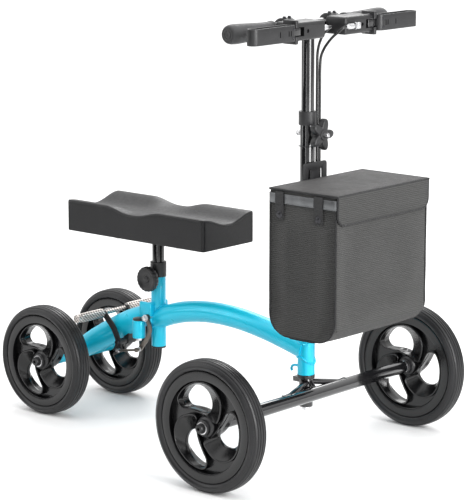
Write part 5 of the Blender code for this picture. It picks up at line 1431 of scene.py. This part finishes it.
top_seam = []
for step in range(220):
    place, out = plan_point(step / 220)
    aim = (out + Z_AXIS * 1.1).normalized()
    u, v = 2 * (place.x - PAD_X) / (pad_high.x - pad_low.x), 2 * place.y / (pad_high.y - pad_low.y)
    hit = surface_hit(place + Z_AXIS * (PAD_TOP - channels(u, v) - 0.0030) + aim * 0.03, -aim)
    if hit is not None:
        top_seam.append(hit - aim * 0.0004)
smoothed = [(top_seam[i - 2] + top_seam[i - 1] * 2 + top_seam[i] * 3 + top_seam[(i + 1) % len(top_seam)] * 2
             + top_seam[(i + 2) % len(top_seam)]) / 9 for i in range(len(top_seam))]
seams = [swept("top_seam", smoothed, 0.0013, "vinyl", 12, loop=True)]
for sign_x in (-1, 1):
    for sign_y in (-1, 1):
        for offset in (-0.0032, 0.0032):
            line = []
            for step in range(14):
                z = PAD_FOOT + 0.004 + (PAD_TOP - PAD_FOOT - 0.016) * step / 13
                out = Vector((sign_x, sign_y, 0)).normalized()
                beside = Vector((-out.y, out.x, 0)) * offset
                start = Vector((PAD_X + sign_x * 0.170, sign_y * 0.065, z)) + out * 0.06 + beside
                hit = surface_hit(start, -out)
                if hit is not None:
                    line.append(hit + out * 0.0001)
            if len(line) > 3:
                seams.append(swept("corner_seam", smooth_route(line, 3), 0.0007, "vinyl", 8))
put(joined("cushion_seams", seams), "knee_rest", "vinyl")


# ---------------------------------------------------------------- seat knob
knob_rows = []
ridge = [0.0005 * (1 if (index // 3) % 2 else -1) for index in range(120)]
for radius, height, rib in ((0.0100, 0.0228, 0), (0.0120, 0.0244, 0), (0.0205, 0.0248, 0),
                            (0.0232, 0.0252, 0.6), (0.0241, 0.0266, 1), (0.0243, 0.0300, 1),
                            (0.0241, 0.0342, 1), (0.0232, 0.0362, 0.6), (0.0214, 0.0372, 0),
                            (0.0196, 0.0372, 0), (0.0184, 0.0362, 0), (0.0120, 0.0352, 0),
                            (0.0070, 0.0350, 0), (0.0062, 0.0364, 0), (0.0040, 0.0370, 0)):
    knob_rows.append(uneven_ring(facing(knob_axis, knob_at), [radius + rib * high for high in ridge], height))
knob = lofted("seat_knob", knob_rows, "satin", 40, ring=False)
stud_ends = (knob_at + knob_axis * 0.0126, knob_at + knob_axis * 0.0235)
knob_stud = rod("stud", 0.0040, *stud_ends, "satin", 0.0004, 24)
put(joined("seat_knob", [knob, knob_stud]), "seat_knob", "black_plastic", "seat_knob")


# ---------------------------------------------------------------- rear brake
PIVOT = at_height(PIVOTS["brake"].x, PIVOTS["brake"].z)
PULL_PIVOT = at_height(PIVOTS["pull_lever"].x, PIVOTS["pull_lever"].z)
BRAKE_BAR = at_height(REAR_X + 0.0900, 0.2030)
LINK_PIN = at_height(REAR_X + 0.1340, 0.1345, -0.0315)
PULL_TAIL = at_height(REAR_X + 0.1880, 0.1450)

yoke = [rod("shaft", 0.0040, PIVOT - Y_AXIS * 0.0360, PIVOT + Y_AXIS * 0.0360, "steel", 0.0006, 32)]
arms = []
arm_line = smooth_route([BRAKE_BAR, BRAKE_BAR + Vector((0.0110, 0, -0.0110)),
                         BRAKE_BAR + Vector((0.0270, 0, -0.0280)),
                         PIVOT], 8)
for side, _ in SIDES:
    arms.append(rod("sleeve", 0.0062, PIVOT + Y_AXIS * side * 0.0125, PIVOT + Y_AXIS * side * 0.0325,
                    "satin", 0.0006, 32))
    arms.append(slab("arm", strip_outline(arm_line, 0.0062), -0.0020, 0.0020, side_place(side * 0.0310),
                     "satin", 0.0006))
tail_line = [PIVOT, PIVOT.lerp(Vector((LINK_PIN.x, 0, LINK_PIN.z)), 0.5), Vector((LINK_PIN.x, 0, LINK_PIN.z))]
arms.append(slab("tail", strip_outline(tail_line, 0.0050), -0.0015, 0.0015, side_place(-0.0310), "satin",
                 0.0004))
put(joined("brake_yoke", [*arms, *yoke]), "brake", "black_paint", "brake_yoke")
arm_bolts = [hex_bolt("bolt", Vector((PIVOT.x, side * 0.0330, PIVOT.z)), Y_AXIS * side, 0.0095, 0.0040,
                      "dull")
             for side, _ in SIDES]
put(joined("yoke_bolts", arm_bolts), "brake", "zinc_steel")

teeth, points = 18, 144
stations = [(0.0070, -0.1080, 0), (0.0082, -0.1072, 0), (0.0082, -0.0990, 0), (0.0086, -0.0985, 1),
            (0.0086, -0.0380, 1), (0.0082, -0.0375, 0), (0.0082, -0.0350,
                                                         0), (0.0045, -0.0345, 0), (0.0045, 0.0345, 0),
            (0.0082, 0.0350, 0), (0.0082, 0.0375, 0), (0.0086, 0.0380,
                                                       1), (0.0086, 0.0985, 1), (0.0082, 0.0990, 0),
            (0.0082, 0.1072, 0), (0.0070, 0.1080, 0)]
waves = [0.0004 * math.cos(teeth * 2 * math.pi * index / points) for index in range(points)]
bar_rows = [uneven_ring(facing(Y_AXIS, BRAKE_BAR), [radius + tooth * wave for wave in waves], height)
            for radius, height, tooth in stations]
put(lofted("brake_bar", bar_rows, "knurl", 30, ring=False), "brake", "zinc_steel", "brake_bar")

PULL_Y = -0.0325
pull_line = smooth_route([PULL_PIVOT, PULL_PIVOT + Vector((0.0075, 0, -0.0190)),
                          PULL_PIVOT + Vector((0.0020, 0, -0.0390)),
                          PULL_PIVOT + Vector((-0.0100, 0, -0.0540)), PULL_TAIL], 6)
blade = slab("blade", strip_outline(pull_line, 0.0046), -0.00225, 0.00225, side_place(PULL_Y), "bronze",
             0.0007)
pull_boss = rod("boss", 0.0068, PULL_PIVOT + Y_AXIS * (PULL_Y - 0.0040), PULL_PIVOT - Y_AXIS * 0.0290,
                "satin", 0.0008)
pull_shaft = rod("shaft", 0.0040, PULL_PIVOT + Y_AXIS * (PULL_Y - 0.0050), PULL_PIVOT - Y_AXIS * 0.0155,
                 "steel", 0.0005, 28)
put(joined("pull_lever", [blade, pull_boss, pull_shaft]), "pull_lever", "black_paint", "pull_lever")
put(hex_bolt("lever_bolt", PULL_PIVOT + Y_AXIS * (PULL_Y - 0.0040), -Y_AXIS, 0.0100, 0.0045, "steel"),
    "pull_lever",
    "zinc_steel")

link_start = LINK_PIN + Vector((0, -0.0065, 0))
link_end = Vector((PULL_TAIL.x, LINK_PIN.y - 0.0110, PULL_TAIL.z))
link = rod("link", 0.0024, link_start, link_end, "bronze", 0.0004, 28)
link_pin = rod("pin", 0.0040, LINK_PIN - Y_AXIS * 0.0010, link_start - Y_AXIS * 0.0030, "steel", 0.0006, 28)
eye = rod("eye", 0.0046, Vector((PULL_TAIL.x, link_end.y - 0.0022, PULL_TAIL.z)),
          Vector((PULL_TAIL.x, link_end.y + 0.0022, PULL_TAIL.z)), "bronze", 0.0006, 28)
put(joined("brake_link", [link, link_pin, eye]), "brake_link", "zinc_steel", "brake_link")
put(hex_bolt("link_bolt", Vector((PULL_TAIL.x, PULL_Y - 0.0020, PULL_TAIL.z)), -Y_AXIS, 0.0070, 0.0016,
             "steel"),
    "pull_lever", "zinc_steel")


# ---------------------------------------------------------------- floor, light and camera
def floor_material():
    paint = Paint("floor", (0.93, 0.93, 0.93), 0.60)
    paint.vary_colour(paint.noise(2.5, 3), 0.990, 1.010)
    paint.bump(paint.noise(300, 2), 0.00005)
    return paint.material


MATERIALS["floor"] = floor_material()
MATERIALS["card"] = moulded_plastic("card", (0.010, 0.010, 0.010), 0.9)
floor_shape = bmesh.new()
bmesh.ops.create_grid(floor_shape, x_segments=8, y_segments=8, size=40.0)
floor = add_piece("floor", floor_shape, "floor")
floor.visible_diffuse = False
SKY_LOW, SKY_HIGH = 0.50, 1.85


def studio_sky():
    """Light that comes mostly from above and is dim at the horizon, in front of a plain white backdrop."""
    world = bpy.data.worlds.new("studio")
    world.use_nodes = True
    nodes, links = world.node_tree.nodes, world.node_tree.links
    nodes["Background"].inputs["Color"].default_value = (1, 1, 1, 1)
    place = nodes.new("ShaderNodeTexCoord")
    split = nodes.new("ShaderNodeSeparateXYZ")
    ramp = nodes.new("ShaderNodeMapRange")
    ramp.inputs["From Min"].default_value = -0.05
    ramp.inputs["From Max"].default_value = 1.0
    ramp.inputs["To Min"].default_value = SKY_LOW
    ramp.inputs["To Max"].default_value = SKY_HIGH
    links.new(place.outputs["Generated"], split.inputs["Vector"])
    links.new(split.outputs["Z"], ramp.inputs["Value"])
    backdrop = nodes.new("ShaderNodeMath")
    backdrop.operation = "MAXIMUM"
    links.new(ramp.outputs["Result"], backdrop.inputs[0])
    links.new(nodes.new("ShaderNodeLightPath").outputs["Is Camera Ray"], backdrop.inputs[1])
    links.new(backdrop.outputs["Value"], nodes["Background"].inputs["Strength"])
    bpy.context.scene.world = world


studio_sky()


def soft_light(name, at, aim, size, power, tall=None):
    data = bpy.data.lights.new(name, "AREA")
    data.energy = power
    data.shape = "RECTANGLE" if tall else "DISK"
    data.size = size
    if tall:
        data.size_y = tall
    lamp = bpy.data.objects.new(name, data)
    lamp.location = at
    lamp.rotation_euler = (Vector(at) - Vector(aim)).to_track_quat("Z", "Y").to_euler()
    bpy.context.scene.collection.objects.link(lamp)


card_shape = bmesh.new()
bmesh.ops.create_grid(card_shape, x_segments=4, y_segments=4, size=0.5)
card = add_piece("dark_card", card_shape, "card")
card.matrix_world = (Matrix.Translation((-2.6, -4.2, 1.6)) @ Matrix.Rotation(math.radians(90), 4, "X")
                     @ Matrix.Diagonal((8.0, 4.6, 1.0, 1.0)))
card.visible_camera = card.visible_shadow = False

soft_light("front", (2.7, -0.35, 1.0), (0.2, 0, 0.4), 1.0, 66, 1.9)
soft_light("left", (-2.0, -2.2, 1.4), (0, 0, 0.3), 0.8, 14, 1.6)
soft_light("near", (0.9, -3.2, 0.9), (0, 0, 0.3), 0.35, 6, 1.2)
soft_light("rim", (-1.3, 2.2, 2.2), (0, 0, 0.4), 1.2, 20, 1.2)

CAMERA_AT, CAMERA_LENS = (2.9109, -3.2882, 1.2238), 169.6
azimuth, elevation = math.radians(40.8026), math.radians(11.1932)
back = Vector((math.sin(azimuth) * math.cos(elevation), -math.cos(azimuth) * math.cos(elevation),
               math.sin(elevation)))
right = Vector((math.cos(azimuth), math.sin(azimuth), 0))
camera_data = bpy.data.cameras.new("camera")
camera_data.lens = CAMERA_LENS
camera_data.sensor_width = 36.0
camera = bpy.data.objects.new("camera", camera_data)
bpy.context.scene.collection.objects.link(camera)
turn = Matrix((right, back.cross(right), back)).transposed().to_4x4()
camera.matrix_world = Matrix.Translation(CAMERA_AT) @ turn
bpy.context.scene.camera = camera
bpy.context.scene.view_settings.view_transform = "Standard"
